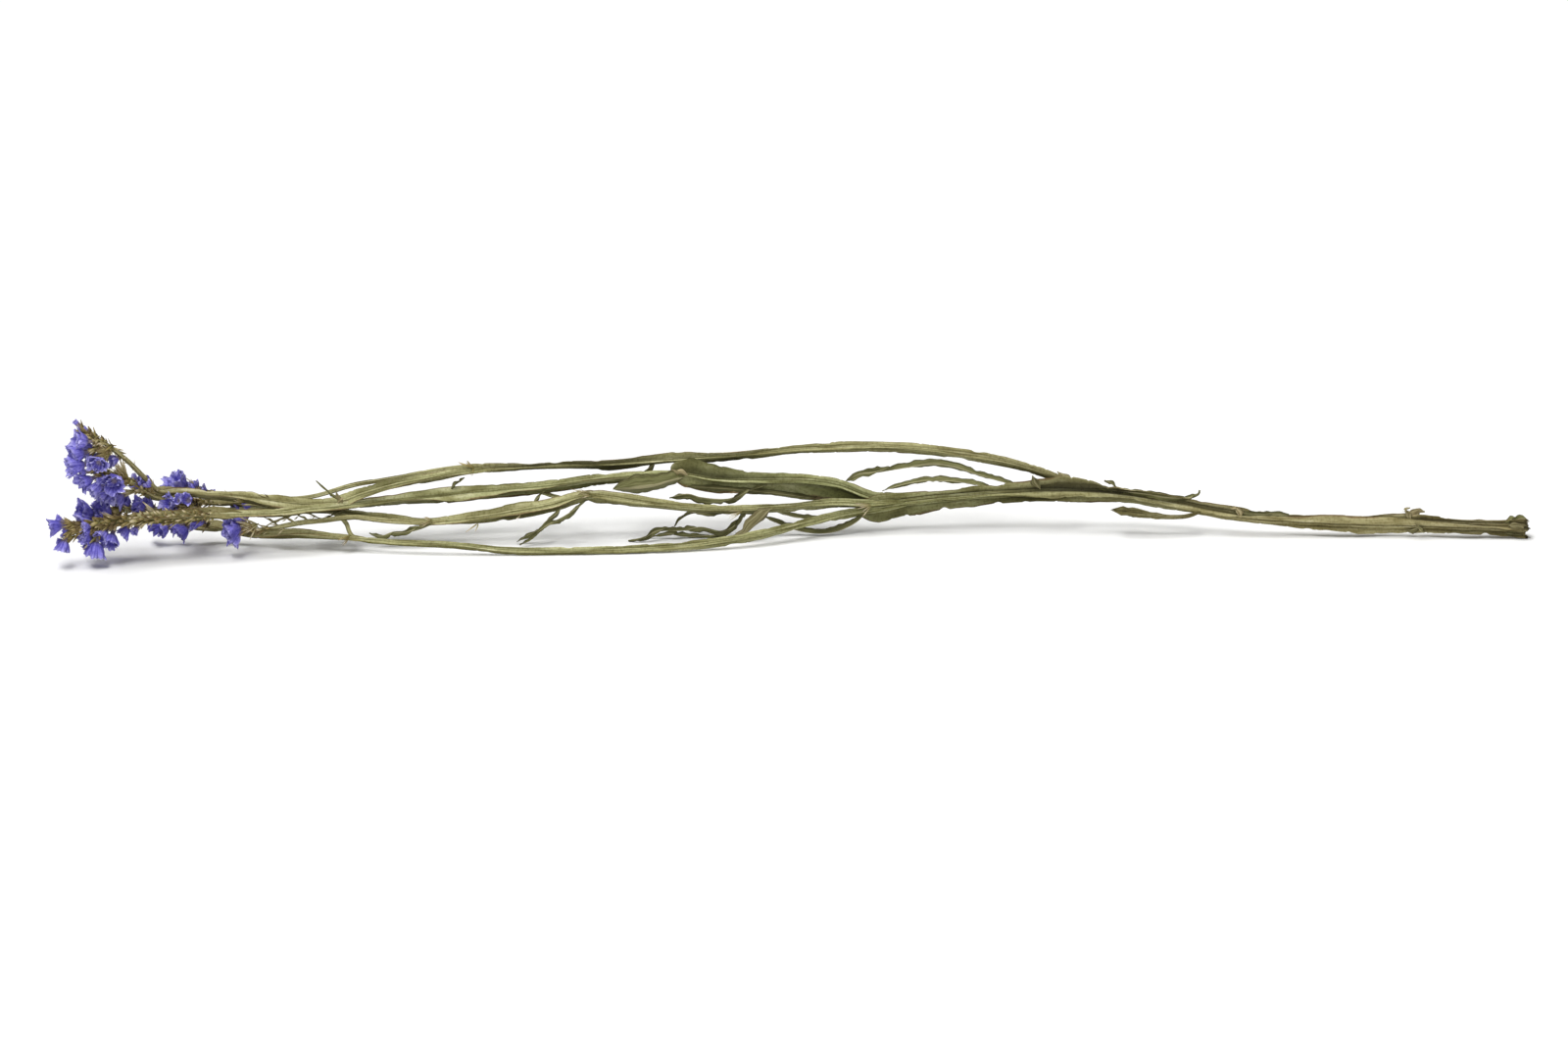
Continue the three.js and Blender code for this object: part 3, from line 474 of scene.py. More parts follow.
dried_stem, tree, shader = new_material("dried winged stem", 0.75)
streaks = fibres(tree, spacing=1.6, length=34, roughness=0.65)
lengths = fibres(tree, spacing=9, length=26, roughness=0.4)
young = ramp(tree, streaks, (0.3, "#54562f"), (0.42, "#848858"), (0.54, "#a2a675"), (0.68, "#cccda4"))
old = ramp(tree, streaks, (0.3, "#6a6040"), (0.42, "#9c9066"), (0.54, "#b9ae84"), (0.68, "#d6ceac"))
aged = blend(tree, "MIX", noted(tree, "age"), young, old)
patched = blend(tree, "MULTIPLY", 0.8, aged, ramp(tree, lengths, (0.38, "#b8b294"), (0.52, "#ffffff")))
rim = add(tree, "Math", {"operation": "MULTIPLY"})
tree.links.new(noted(tree, "rim"), rim.inputs[0])
tree.links.new(lengths, rim.inputs[1])
broken = ramp(tree, rim.outputs["Value"], (0.42, "#000000"), (0.5, "#ffffff"))
rimmed = blend(tree, "MIX", broken, patched, "#7a6846")
# painted shade in the hollows between the ribs, at the wings' roots and in the groove in front of the upper
# wing
hollow = ramp(tree, noted(tree, "hollow"), (0.05, "#ffffff"), (0.5, "#5c5838"), (1, "#38371d"))
hollow_shaded = blend(tree, "MULTIPLY", 0.9, rimmed, hollow)
# painted shade on the low wing and the ribs in front of it, and on the upper wing where given
shaded = blend(tree, "MULTIPLY", noted(tree, "shade"), hollow_shaded, "#777850")
wrinkles = ramp(tree, fibres(tree, spacing=7, length=0.7), (0.4, "#a8a184"), (0.54, "#ffffff"))
wrinkled = blend(tree, "MULTIPLY", 0.12, shaded, wrinkles)
spots = ramp(tree, speckles(tree, 900), (0.36, "#b8b196"), (0.5, "#ffffff"))
spotted = blend(tree, "MULTIPLY", 0.5, wrinkled, spots)
darkened = blend(tree, "MULTIPLY", noted(tree, "dark"), spotted, "#8a866a")
surface(tree, shader, darkened, streaks, depth=0.5)

WINGS = ("near", "up", "far", "down")
for seed, (name, sizes) in enumerate(STEMS.items()):
    piece = stem("winged_" + name, sizes, WINGS, seed)
    piece.data.materials.append(dried_stem)
    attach(piece, "root")
    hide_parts(name)

# ------------------------------------------------------------------ flower stalks
# Thin stalks of the same dried stem, with three wings each, that carry the flower heads. A stalk
# starts inside the branch that it grew from and ends under its head's first bracts.

# wings is how far all three reach out.
STALKS = {
    "back": {
        "route": [[-127, 41, 29.2], [-136, 40.6, 30], [-155, 39, 28.4], [-172, 37, 26.1],
          [-190, 35, 23.9], [-209, 32, 19.7], [-222, 30, 19.6], [-242, 28, 21.8]],
        "core": [1, 0.8], "wings": [1.3, 1.2, 1.2, 1.1, 1], "age": [0.45, 0.5],
    },
    "top": {
        "route": [[-127, 40.6, 28.8], [-136, 39.4, 28.4], [-160, 35, 25.6], [-175, 31, 23.8],
          [-187, 27, 21.5], [-197, 24, 19], [-209, 20, 19.2], [-220, 18, 20.8], [-239, 16, 24.4],
          [-254, 14, 26], [-266, 12.5, 27.8], [-276, 11, 29]],
        "core": [1.2, 0.9], "wings": [2.4, 2.4, 2.6, 3.2, 3.6, 3.6, 3.2, 2.8, 2.6],
        "age": [0.3, 0.3, 0.5, 0.7],
    },
    "front": {
        "route": [[-37, 38.5, 24.2], [-44.5, 39, 25.2], [-65, 39, 24.5], [-86, 39, 23], [-102, 38.5, 21],
          [-114, 38, 20.3], [-138, 35, 19.4], [-164, 30, 18.2], [-187, 25, 18], [-200, 18, 18.4],
          [-211, 13, 19], [-223, 9, 18.8], [-239, 6, 19.2], [-254, 4, 20]],
        "core": [1.3, 0.9], "wings": [1.8, 2.4, 2.8, 3.2, 3.4, 4, 3.2, 2.6, 2.4, 2.4, 2.6],
        "age": [0.15, 0.2, 0.3, 0.5],
    },
    "inner": {
        "route": [[-78, 23.1, 19.2], [-86.5, 24, 20.2], [-104, 24, 16], [-122, 24, 13], [-139, 24, 10.6],
          [-157, 24, 9.2], [-175, 24, 11.4], [-190, 25, 13.2], [-201, 26, 14.5], [-216, 25, 15.5],
          [-234, 23, 16.8], [-251, 21, 17.2], [-264, 18, 18.3], [-275, 15, 19.7]],
        "core": [1.3, 0.9], "wings": [1.8, 3.2, 3.8, 3, 2.4, 2.2, 2.2, 2, 1.6, 1.4, 1.1],
        "age": [0.4, 0.4, 0.5],
    },
    "hidden": {
        "route": [[-79, 23.8, 19.4], [-86.5, 25.5, 20.8], [-92, 29, 18.3], [-100, 36, 16.5],
          [-108, 42, 17.5], [-122, 44, 19], [-140, 42.5, 18], [-160, 39.5, 16.8], [-175, 37, 15.8],
          [-190, 35, 14.8], [-203, 33, 14], [-215, 30, 14.8]],
        "core": [0.8, 0.7], "wings": [1, 1.2, 1.2, 1], "age": [0.4],
    },
    "side": {
        "route": [[-148, 23.8, 10], [-157, 23, 9.3], [-175, 19, 11.4], [-192, 17, 14.1], [-204, 14, 13.7],
          [-213, 12, 13.6], [-223, 10, 12.5], [-229, 9, 11.8]],
        "core": [0.9, 0.8], "wings": [1.3, 1.4, 1.3, 1.1], "age": [0.6],
    },
    "floor": {
        "route": [[-183, 9.8, 5.5], [-191.5, 11.8, 6], [-208, 14, 7.1], [-217, 18, 6.7], [-225, 22, 5.8],
          [-234, 26, 5.3], [-242, 29, 6], [-252, 31, 7]],
        "core": [1, 0.8], "wings": [1.8, 2.2, 2.6, 2.8, 2.6], "age": [0.5],
    },
    "middle": {
        "route": [[-184, 10.2, 5.6], [-191.5, 12.5, 6.6], [-194, 18, 10.9], [-198, 22, 14.2],
          [-206, 25, 17.1], [-225, 25, 18.3], [-238, 24, 19.3], [-247, 22, 20.2]],
        "core": [0.8, 0.7], "wings": [1, 1.2, 1.6, 2.4, 2.6], "age": [0.5],
    },
}

STALK_WINGS = ("near", "up", "down")
STALK_SEED = 50
for seed, (name, stalk) in enumerate(STALKS.items(), STALK_SEED):
    sizes = stalk | {wing: stalk["wings"] for wing in STALK_WINGS}
    piece = stem("stalk_with_wings_" + name, sizes, STALK_WINGS, seed)
    piece.data.materials.append(dried_stem)
    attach(piece, "root")
    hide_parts("stalk_" + name)

# ------------------------------------------------------------------ leaves
# Strap leaves that dried into thin, folded, twisted ribbons, each hung from the node or fork that it
# grew at. The small ones are torn feet of leaves, buds and loose fibres, on the piece given as on.

# The widths and the turns, in degrees, are at even spaces along the route. A blade also turns over
# and sways by itself, and one with curl doesn't, and has its rims crisped by that much. papery runs
# from 0, green, to 1, straw paper, and pale from 0, dark, to 1.
LEAVES = (  # its name, its route, its widths and its turns, and what else there is to say of it
    ("leaf_arch_long", [[104, 31, 19], [87, 33, 23.7], [75, 34, 27.7], [66, 34, 29.2], [53, 35, 27.4],
        [41, 35, 25.6], [33, 36, 24.6], [27, 36, 21.4]], [1.6, 2.4, 2.8, 3.2, 3.4, 2.6, 4.2, 1.6],
        [50, 70, 80, 85, 85, 40, -70, -100], {"curl": 0.5}),
    ("leaf_arch_short", [[94, 30.5, 18], [79, 32, 21.1], [68, 32, 22.1], [59, 32, 21.8], [50, 32, 20],
        [43, 32, 17.8]], [1.6, 2.4, 2.8, 2.8, 2.4, 1.2], [40, 70, 85, 60, 100, 70], {"curl": 0.5}),
    ("leaf_fork_long", [[35, 28, 9.4], [32, 26, 6.2], [23, 24, 2.2], [14, 24, 1.2], [5, 25, 2.5],
        [-3, 26, 5.4], [-10, 27, 8.6]], [1.6, 3.2, 3.8, 3.8, 3.6, 3, 1.2], [60, 70, 50, 30, 50, 60, 80],
        {"curl": 0.25}),
    ("leaf_fork_back", [[39, 30.5, 10.5], [31, 33, 7.4], [22, 34, 5.2], [13, 34, 4.8], [4, 34, 6.4],
        [-5, 33, 9.4]], [1.6, 3, 3.4, 3.2, 3, 1.2], [60, 60, 30, 40, 60, 70], {"curl": 0.25}),
    ("leaf_node_broad", [[-7.3, 18.5, 14.2], [-10.4, 17.5, 11], [-14.8, 16, 7.4], [-19.2, 15, 3.8],
        [-24, 14, 1.9], [-28.4, 13.5, 3]], [3.4, 8, 6.4, 3.4, 2.4, 1.4], [75, 80, 75, 65, 60, 50],
        {"curl": 0.3, "papery": 0.35}),
    ("leaf_node_wavy", [[-18, 21, 11.6], [-23, 21, 5.8], [-29, 20, 4], [-38, 20, 5.9], [-46, 20, 4.7],
        [-57, 21, 4.2], [-64, 19, 1.8], [-70, 19, 0.8]], [1.6, 2.8, 3, 3.2, 3.2, 3, 2.4, 1],
        [80, 70, 50, 70, 40, 60, 40, 10], {}),
    ("leaf_node_dark", [[-18, 21.5, 12.6], [-21, 24, 6], [-27, 24, 2], [-37, 24, 0.9], [-45, 24, 0.9],
        [-52, 25, 1.9], [-60, 25, 0.8]], [1.4, 2.2, 2.6, 2.6, 2.4, 2.2, 1], [80, 60, 30, 10, 20, 40, 10],
        {}),
    ("leaf_node_curved", [[-20, 21, 13], [-29, 26, 11.2], [-36, 27, 10.7], [-42, 28, 10.1],
        [-47, 28, 7.2], [-49, 27, 4.7]], [1.4, 2.2, 2.8, 2.8, 2.6, 1], [30, 50, 70, 60, 80, 90], {}),
    ("leaf_twisted", [[-8, 35.5, 20.4], [-14, 32, 19.8], [-19, 31, 17.8], [-25, 31, 15.6],
        [-37, 32, 16.2], [-43, 32, 17.9], [-51, 31, 16.7]], [1, 1.6, 2.6, 3.6, 3.6, 3, 1.4],
        [90, 90, 60, 100, 150, 220, 270], {}),
    ("leaf_fold", [[-44.4, 37, 24.2], [-51, 34.5, 23.2], [-57.2, 33, 21.9], [-66.8, 31, 21.3],
        [-75.9, 30, 21.3]], [5, 8.4, 9, 7.4, 4], [80, 85, 80, 75, 70], {"curl": 0.3}),
    ("leaf_hanging", [[-56, 44, 29.4], [-60, 44.5, 26.2], [-64, 44.5, 23.2], [-67, 44, 20.3]],
        [1.6, 3, 2.8, 1.2], [60, 80, 90, 90], {}),
    ("leaf_loop_light", [[-88, 22, 19], [-92, 18, 16.6], [-98, 17, 12.9], [-104, 17, 9.7],
        [-109, 16, 6.4], [-111, 16, 4.4], [-114, 15, 2.5], [-118, 14, 1.2]],
        [1.4, 1.6, 2.4, 2.6, 1.8, 2.2, 2, 1], [60, 60, 70, 60, 110, 60, 40, 10], {}),
    ("leaf_loop_dark", [[-99, 22, 16.4], [-101, 20.5, 13.4], [-106, 20, 9.9], [-109, 20, 6.5],
        [-115, 19.5, 3.6], [-119, 19, 1.2]], [1.4, 1.8, 2.2, 1.8, 2, 1], [70, 70, 60, 100, 50, 10], {}),
    ("leaf_under", [[-89, 26, 18.4], [-84, 28, 16.4], [-79, 28.5, 15.6], [-73, 28, 14.9]],
        [1.2, 2.2, 2, 1], [50, 70, 80, 70], {}),
    ("leaf_inner_short", [[-105, 36.5, 20.6], [-109, 33, 17], [-112, 31, 14.6]], [1.2, 1.8, 0.9],
        [80, 90, 90], {}),
    ("leaf_arch_end", [[-141, 37, 26], [-143, 36, 24.6], [-145, 35, 23.6], [-147, 34, 21.6]],
        [1.2, 2, 1.8, 0.9], [80, 90, 80, 90], {}),
    ("leaf_lower", [[-156, 22.5, 9], [-162, 18, 7.9], [-168, 17, 7], [-173, 17, 7.1], [-179, 16, 5.6],
        [-184, 16, 7]], [1.4, 2, 2.6, 2.2, 2.6, 1], [70, 60, 80, 110, 70, 60], {}),
    ("leaf_strand", [[-158, 24.6, 9], [-171, 28, 9.4], [-182, 28.5, 10.3], [-191, 29, 11]],
        [1.2, 1.6, 1.6, 1], [80], {}),
    ("leaf_rest_lower", [[196, 13, 10], [204, 12, 9.6], [212, 10.5, 9.3], [221, 9, 9.6]],
        [1.4, 2.2, 2.4, 2.4], [40, 60, 30, 60], {"curl": 0.4}),
    ("leaf_rest_upper", [[136, 27, 19.2], [148, 25.4, 17.4], [158, 23, 16.4], [168, 20.5, 15.4],
        [178, 18.5, 15]], [1.6, 2.8, 3.2, 3, 2], [50, 70, 40, 60, 60], {"curl": 0.4}),
    ("leaf_thorn", [[-196, 23.5, 20], [-199, 22, 22.6], [-202, 21, 25.5], [-207, 19, 30.5]],
        [1.6, 1.2, 0.9, 0.7], [60], {}),
    ("scrap_node_up", [[274, 3.6, 7.1], [272.2, 3.2, 10.4], [272.2, 3, 12.7], [273.9, 3.2, 13.5]],
        [2.4, 3.8, 3.4, 1.4], [20, 40, 60, 80], {"papery": 0.6, "on": "main_stem"}),
    ("scrap_node_flat", [[272.2, 3.4, 9.9], [274.8, 3, 11.3], [277.8, 3, 12.6], [280.4, 3.4, 11.5]],
        [2.4, 3.4, 3.6, 1.4], [60, 40, 70, 90], {"papery": 0.8, "on": "main_stem"}),
    ("knob_node_left", [[279.5, 3, 6.7], [277.4, 2.8, 4.6], [274.3, 3, 3.3], [271.8, 3.4, 3.2]],
        [2, 3, 2.8, 0.8], [0, 30, 60, 30], {"papery": 0.2, "on": "main_stem"}),
    ("knob_node_right", [[276.1, 3, 7.2], [277.3, 2.6, 5.1], [279.1, 3, 2.7], [280.8, 3.2, 2.7]],
        [2, 3, 2.8, 0.8], [90, 60, 30, 60], {"papery": 0.3, "on": "main_stem"}),
    ("scrap_end_top", [[315.5, 0.2, 6.8], [319.8, -0.6, 8.3], [323.2, -0.6, 8.7], [326.3, -0.4, 7.2]],
        [2, 3, 3, 1], [60, 40, 20, 40], {"papery": 0, "on": "main_stem"}),
    ("scrap_end_middle", [[316.7, -1.6, 5.5], [320.5, -2.4, 6.1], [324, -2.4, 5.6], [326.6, -1.8, 4.5]],
        [2, 2.6, 2.4, 0.8], [10, 40, 60, 20], {"papery": 0.4, "on": "main_stem"}),
    ("scrap_end_low", [[315.5, 0, 2.4], [319.3, -1, 1.3], [322.8, -1, 0.3], [325.4, -0.8, 1.1]],
        [2, 3, 2.6, 0.8], [80, 60, 90, 70], {"papery": 0.1, "on": "main_stem"}),
    ("scale_arch_root", [[126.9, 27, 21.4], [123.4, 27, 24.2], [120.1, 28, 26.2]], [2.2, 3, 1], [50],
        {"papery": 0.55, "on": "main_stem"}),
    ("bud_arch", [[112.6, 26.5, 18.7], [110.4, 25.6, 21.7], [109.1, 25.4, 25.3]], [2.4, 3.4, 1.4],
        [40, 60, 50], {"papery": 0.15, "on": "main_stem"}),
    ("bud_fold", [[146, 23.2, 19.4], [142.9, 22.4, 22.4], [140.4, 22.6, 23.2]], [2.4, 3, 1.2],
        [20, 60, 80], {"papery": 0.1, "on": "main_stem"}),
    ("scrap_fold_end", [[174.5, 18.2, 15.8], [178.4, 17.6, 15.9], [181.8, 17.4, 17.6],
        [182.3, 17.4, 19.4]], [1.6, 2.2, 2, 0.8], [30, 60, 30, 60], {"papery": 0, "on": "main_stem"}),
    ("scale_upper_node", [[-42.7, 37, 25.1], [-46.2, 36, 27.2], [-49.6, 36.4, 28]], [2, 2.6, 0.6],
        [60, 50, 60], {"papery": 1, "on": "upper_branch"}),
    ("collar_near_node", [[196.6, 12.4, 13.3], [198.6, 11.4, 11.3], [200, 12, 7.6]], [1, 2.6, 1],
        [40, 20, 40], {"papery": 0.85, "on": "main_stem"}),
    ("scrap_near_node", [[201.3, 12, 10.2], [198.2, 11.6, 12.2], [195.3, 12.4, 12.5]], [1, 2.2, 0.7],
        [20, 60, 40], {"papery": 1, "on": "main_stem"}),
    ("scrap_stalk_fork", [[-193.7, 22, 17.2], [-195.9, 21.4, 20.1], [-197.6, 21.8, 23.1],
        [-198.4, 22.4, 25.6]], [1.6, 2, 1.6, 0.6], [50, 60, 80, 60],
        {"papery": 0.6, "on": "arch_branch"}),
    ("scale_stalk_fork", [[-195, 21.6, 21.8], [-197.2, 21.2, 19.3], [-196.8, 21.6, 16]], [1.4, 1.8, 0.6],
        [30, 60, 60], {"papery": 0.9, "on": "arch_branch"}),
    ("fibre_one", [[-230.6, 18, 15], [-227.3, 16, 13.6], [-224, 14, 11.9]], [0.6, 0.8, 0.6], [50],
        {"papery": 0.3, "on": "stalk_side"}),
    ("fibre_two", [[-224.5, 20, 16.5], [-220.3, 18, 14.3], [-216.2, 15, 12.4]], [0.7, 0.8, 0.6], [50],
        {"papery": 0.6, "on": "stalk_side"}),
    ("fibre_three", [[-219.2, 22, 17.2], [-214.6, 19, 14.8], [-209.7, 15, 13.1]], [0.8, 0.9, 0.6], [50],
        {"papery": 0.2, "on": "stalk_side"}),
    ("fibre_four", [[-212.3, 22, 16.7], [-207.7, 19, 14.3], [-202.3, 17, 12.9]], [0.6, 0.9, 0.7], [50],
        {"papery": 0.5, "on": "stalk_side"}),
    ("fibre_five", [[-207.6, 15, 13.1], [-200.5, 18, 14.8], [-193.2, 23, 16.5]], [0.8, 1, 0.8], [50],
        {"papery": 0.2, "on": "stalk_side"}),
    ("fibre_six", [[-230.1, 13, 11.4], [-224.7, 16, 13.6], [-218.6, 18, 15.2], [-211.4, 22, 17.5]],
        [0.7, 0.8, 0.8, 0.6], [50], {"papery": 0.4, "on": "stalk_side"}),
    ("hem_under_wing", [[-42.7, 37, 20.2], [-30.2, 36.5, 19.2], [-17.3, 36, 18.2], [-4.5, 34.5, 17],
        [8.3, 33, 15.4], [21.2, 32, 13.6], [32.3, 31, 12.8]], [1.4, 2.4, 2.4, 2.2, 2.6, 2.4, 1],
        [70, 60, 80, 60, 70, 80, 70], {"curl": 0.4, "pale": 0, "on": "upper_branch"}),
)

LEAF_SLICE = 0.6
LEAF_SPANS = (-1, -0.72, -0.4, -0.08, 0.08, 0.4, 0.72, 1)  # across a blade, from rim to rim
LEAF_THICK = 0.17  # half the thickness of a blade by its midrib
LEAF_THINNING = 0.55  # how much thinner it is at its rims
MIDRIB_THICK = 0.18  # how far the midrib stands out of it
MIDRIB_SPAN = 0.1  # how far it goes to each side, in half widths
LEAF_FOLD = 0.85  # how far its two sides fold up from the midrib, in half widths
LEAF_CURL = 0.5  # how far its rims crisp up and down
CRISPING = ((1, 1.7), (1, 5))  # in these waves, each with its share and its spacing
LEAF_WAVES = ((0.15, 2.3), (0.15, 7))  # how ragged its rims are, as a share of its width
LEAF_TIP = 4  # within most of this from its ends a blade narrows, to a quarter
LEAF_TWIST = 11  # how far a narrow blade turns over in each mm, in degrees
TWISTED_WIDTH = 2.6  # wider blades turn over less
LEAF_SWAY = ((40, 8),)  # how far it turns to and fro, in degrees, and the spacing
LEAF_SEED = 100


def leaf(name, route, widths, turns, more, seed):
    """A thin blade folded along its midrib, with crisped rims, that turns along its length."""
    rng = np.random.default_rng(seed)
    points, along, side, up, distance = follow(route, LEAF_SLICE)
    count = len(distance)
    half = evenly(widths, count) / 2 * (1 + waves(rng, distance, LEAF_WAVES))
    ends = np.minimum(distance, distance[-1] - distance)
    half = half * np.clip(0.25 + ends / LEAF_TIP, 0, 1)
    loose = "curl" not in more
    slowed = min(1, (TWISTED_WIDTH / np.mean(widths)) ** 2)
    twist = LEAF_TWIST * loose * rng.choice((-1, 1)) * slowed
    sway = waves(rng, distance, LEAF_SWAY) * loose
    turn = np.radians(evenly(turns, count) + sway + twist * distance)
    crisp = [more.get("curl", LEAF_CURL) * waves(rng, distance, CRISPING) for _ in ("left", "right")]
    offsets, rims = [], []
    for face, spans in ((-1, LEAF_SPANS), (1, LEAF_SPANS[::-1])):
        for span in spans:
            thick = LEAF_THICK * (1 - LEAF_THINNING * abs(span)) + MIDRIB_THICK * (abs(span) < MIDRIB_SPAN)
            lift = LEAF_FOLD * half * abs(span) + crisp[span > 0] * span**2 + face * thick
            offsets.append(turned(half * span, lift, turn))
            rims.append(abs(span))
    offsets, rims = np.array([*offsets, offsets[0]]), np.array([*rims, rims[0]])
    piece, round_it, on = sheet(name, len(offsets) - 1, count - 1)
    out, over = offsets[round_it, 0, on][:, None], offsets[round_it, 1, on][:, None]
    places = points[on] + side[on] * out + up[on] * over
    places[:, 2] = np.maximum(places[:, 2], 0)
    measure_off(piece, np.linspace(0, 4 * half.max(), len(offsets)), distance)
    tone = np.full(len(on), more.get("pale", rng.uniform(0, 1)))
    papery = np.full(len(on), more.get("papery", 0))
    return shape(piece, metres(places), rim=rims[round_it], tone=tone, papery=papery)


# Dried leaf blade: streaked olive, with a pale midrib and brown rims. Torn old scraps of it are straw.
dried_leaf, tree, shader = new_material("dried leaf blade", 0.7)
streaks = fibres(tree, spacing=0.4, length=12)
blade = ramp(tree, streaks, (0.3, "#474726"), (0.48, "#6c6c42"), (0.7, "#929063"))
pale = ramp(tree, streaks, (0.3, "#8a8460"), (0.6, "#c4bc94"))
midrib = ramp(tree, noted(tree, "rim"), (0.05, "#ffffff"), (0.22, "#000000"))
ribbed = blend(tree, "MIX", midrib, blade, pale)
rims = ramp(tree, noted(tree, "rim"), (0.7, "#000000"), (1, "#ffffff"))
edged = blend(tree, "MIX", rims, ribbed, "#4e4a2b")
dark = ramp(tree, noted(tree, "tone"), (0, "#8f8c78"), (1, "#ffffff"))
toned = blend(tree, "MULTIPLY", 0.8, edged, dark)
paper = ramp(tree, streaks, (0.35, "#6e6042"), (0.5, "#a0936c"), (0.65, "#c4b892"))
faded = blend(tree, "MIX", noted(tree, "papery"), toned, paper)
surface(tree, shader, faded, streaks, depth=0.25)

for seed, (name, route, widths, turns, more) in enumerate(LEAVES, LEAF_SEED):
    piece = leaf("dry_" + name, route, widths, turns, more, seed)
    piece.data.materials.append(dried_leaf)
    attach(piece, "root")
    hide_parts(more.get("on", name))

# ------------------------------------------------------------------ flower heads
# A head is a spike: an axis set all round with pointed tan bracts, and papery violet calyces that
# stand out of them. Each calyx is one pleated funnel on a thin tube, and a bundle of bracts, its
# spikelet, carries its foot from the axis. A bract is a thin pointed scale, cupped round what it wraps.

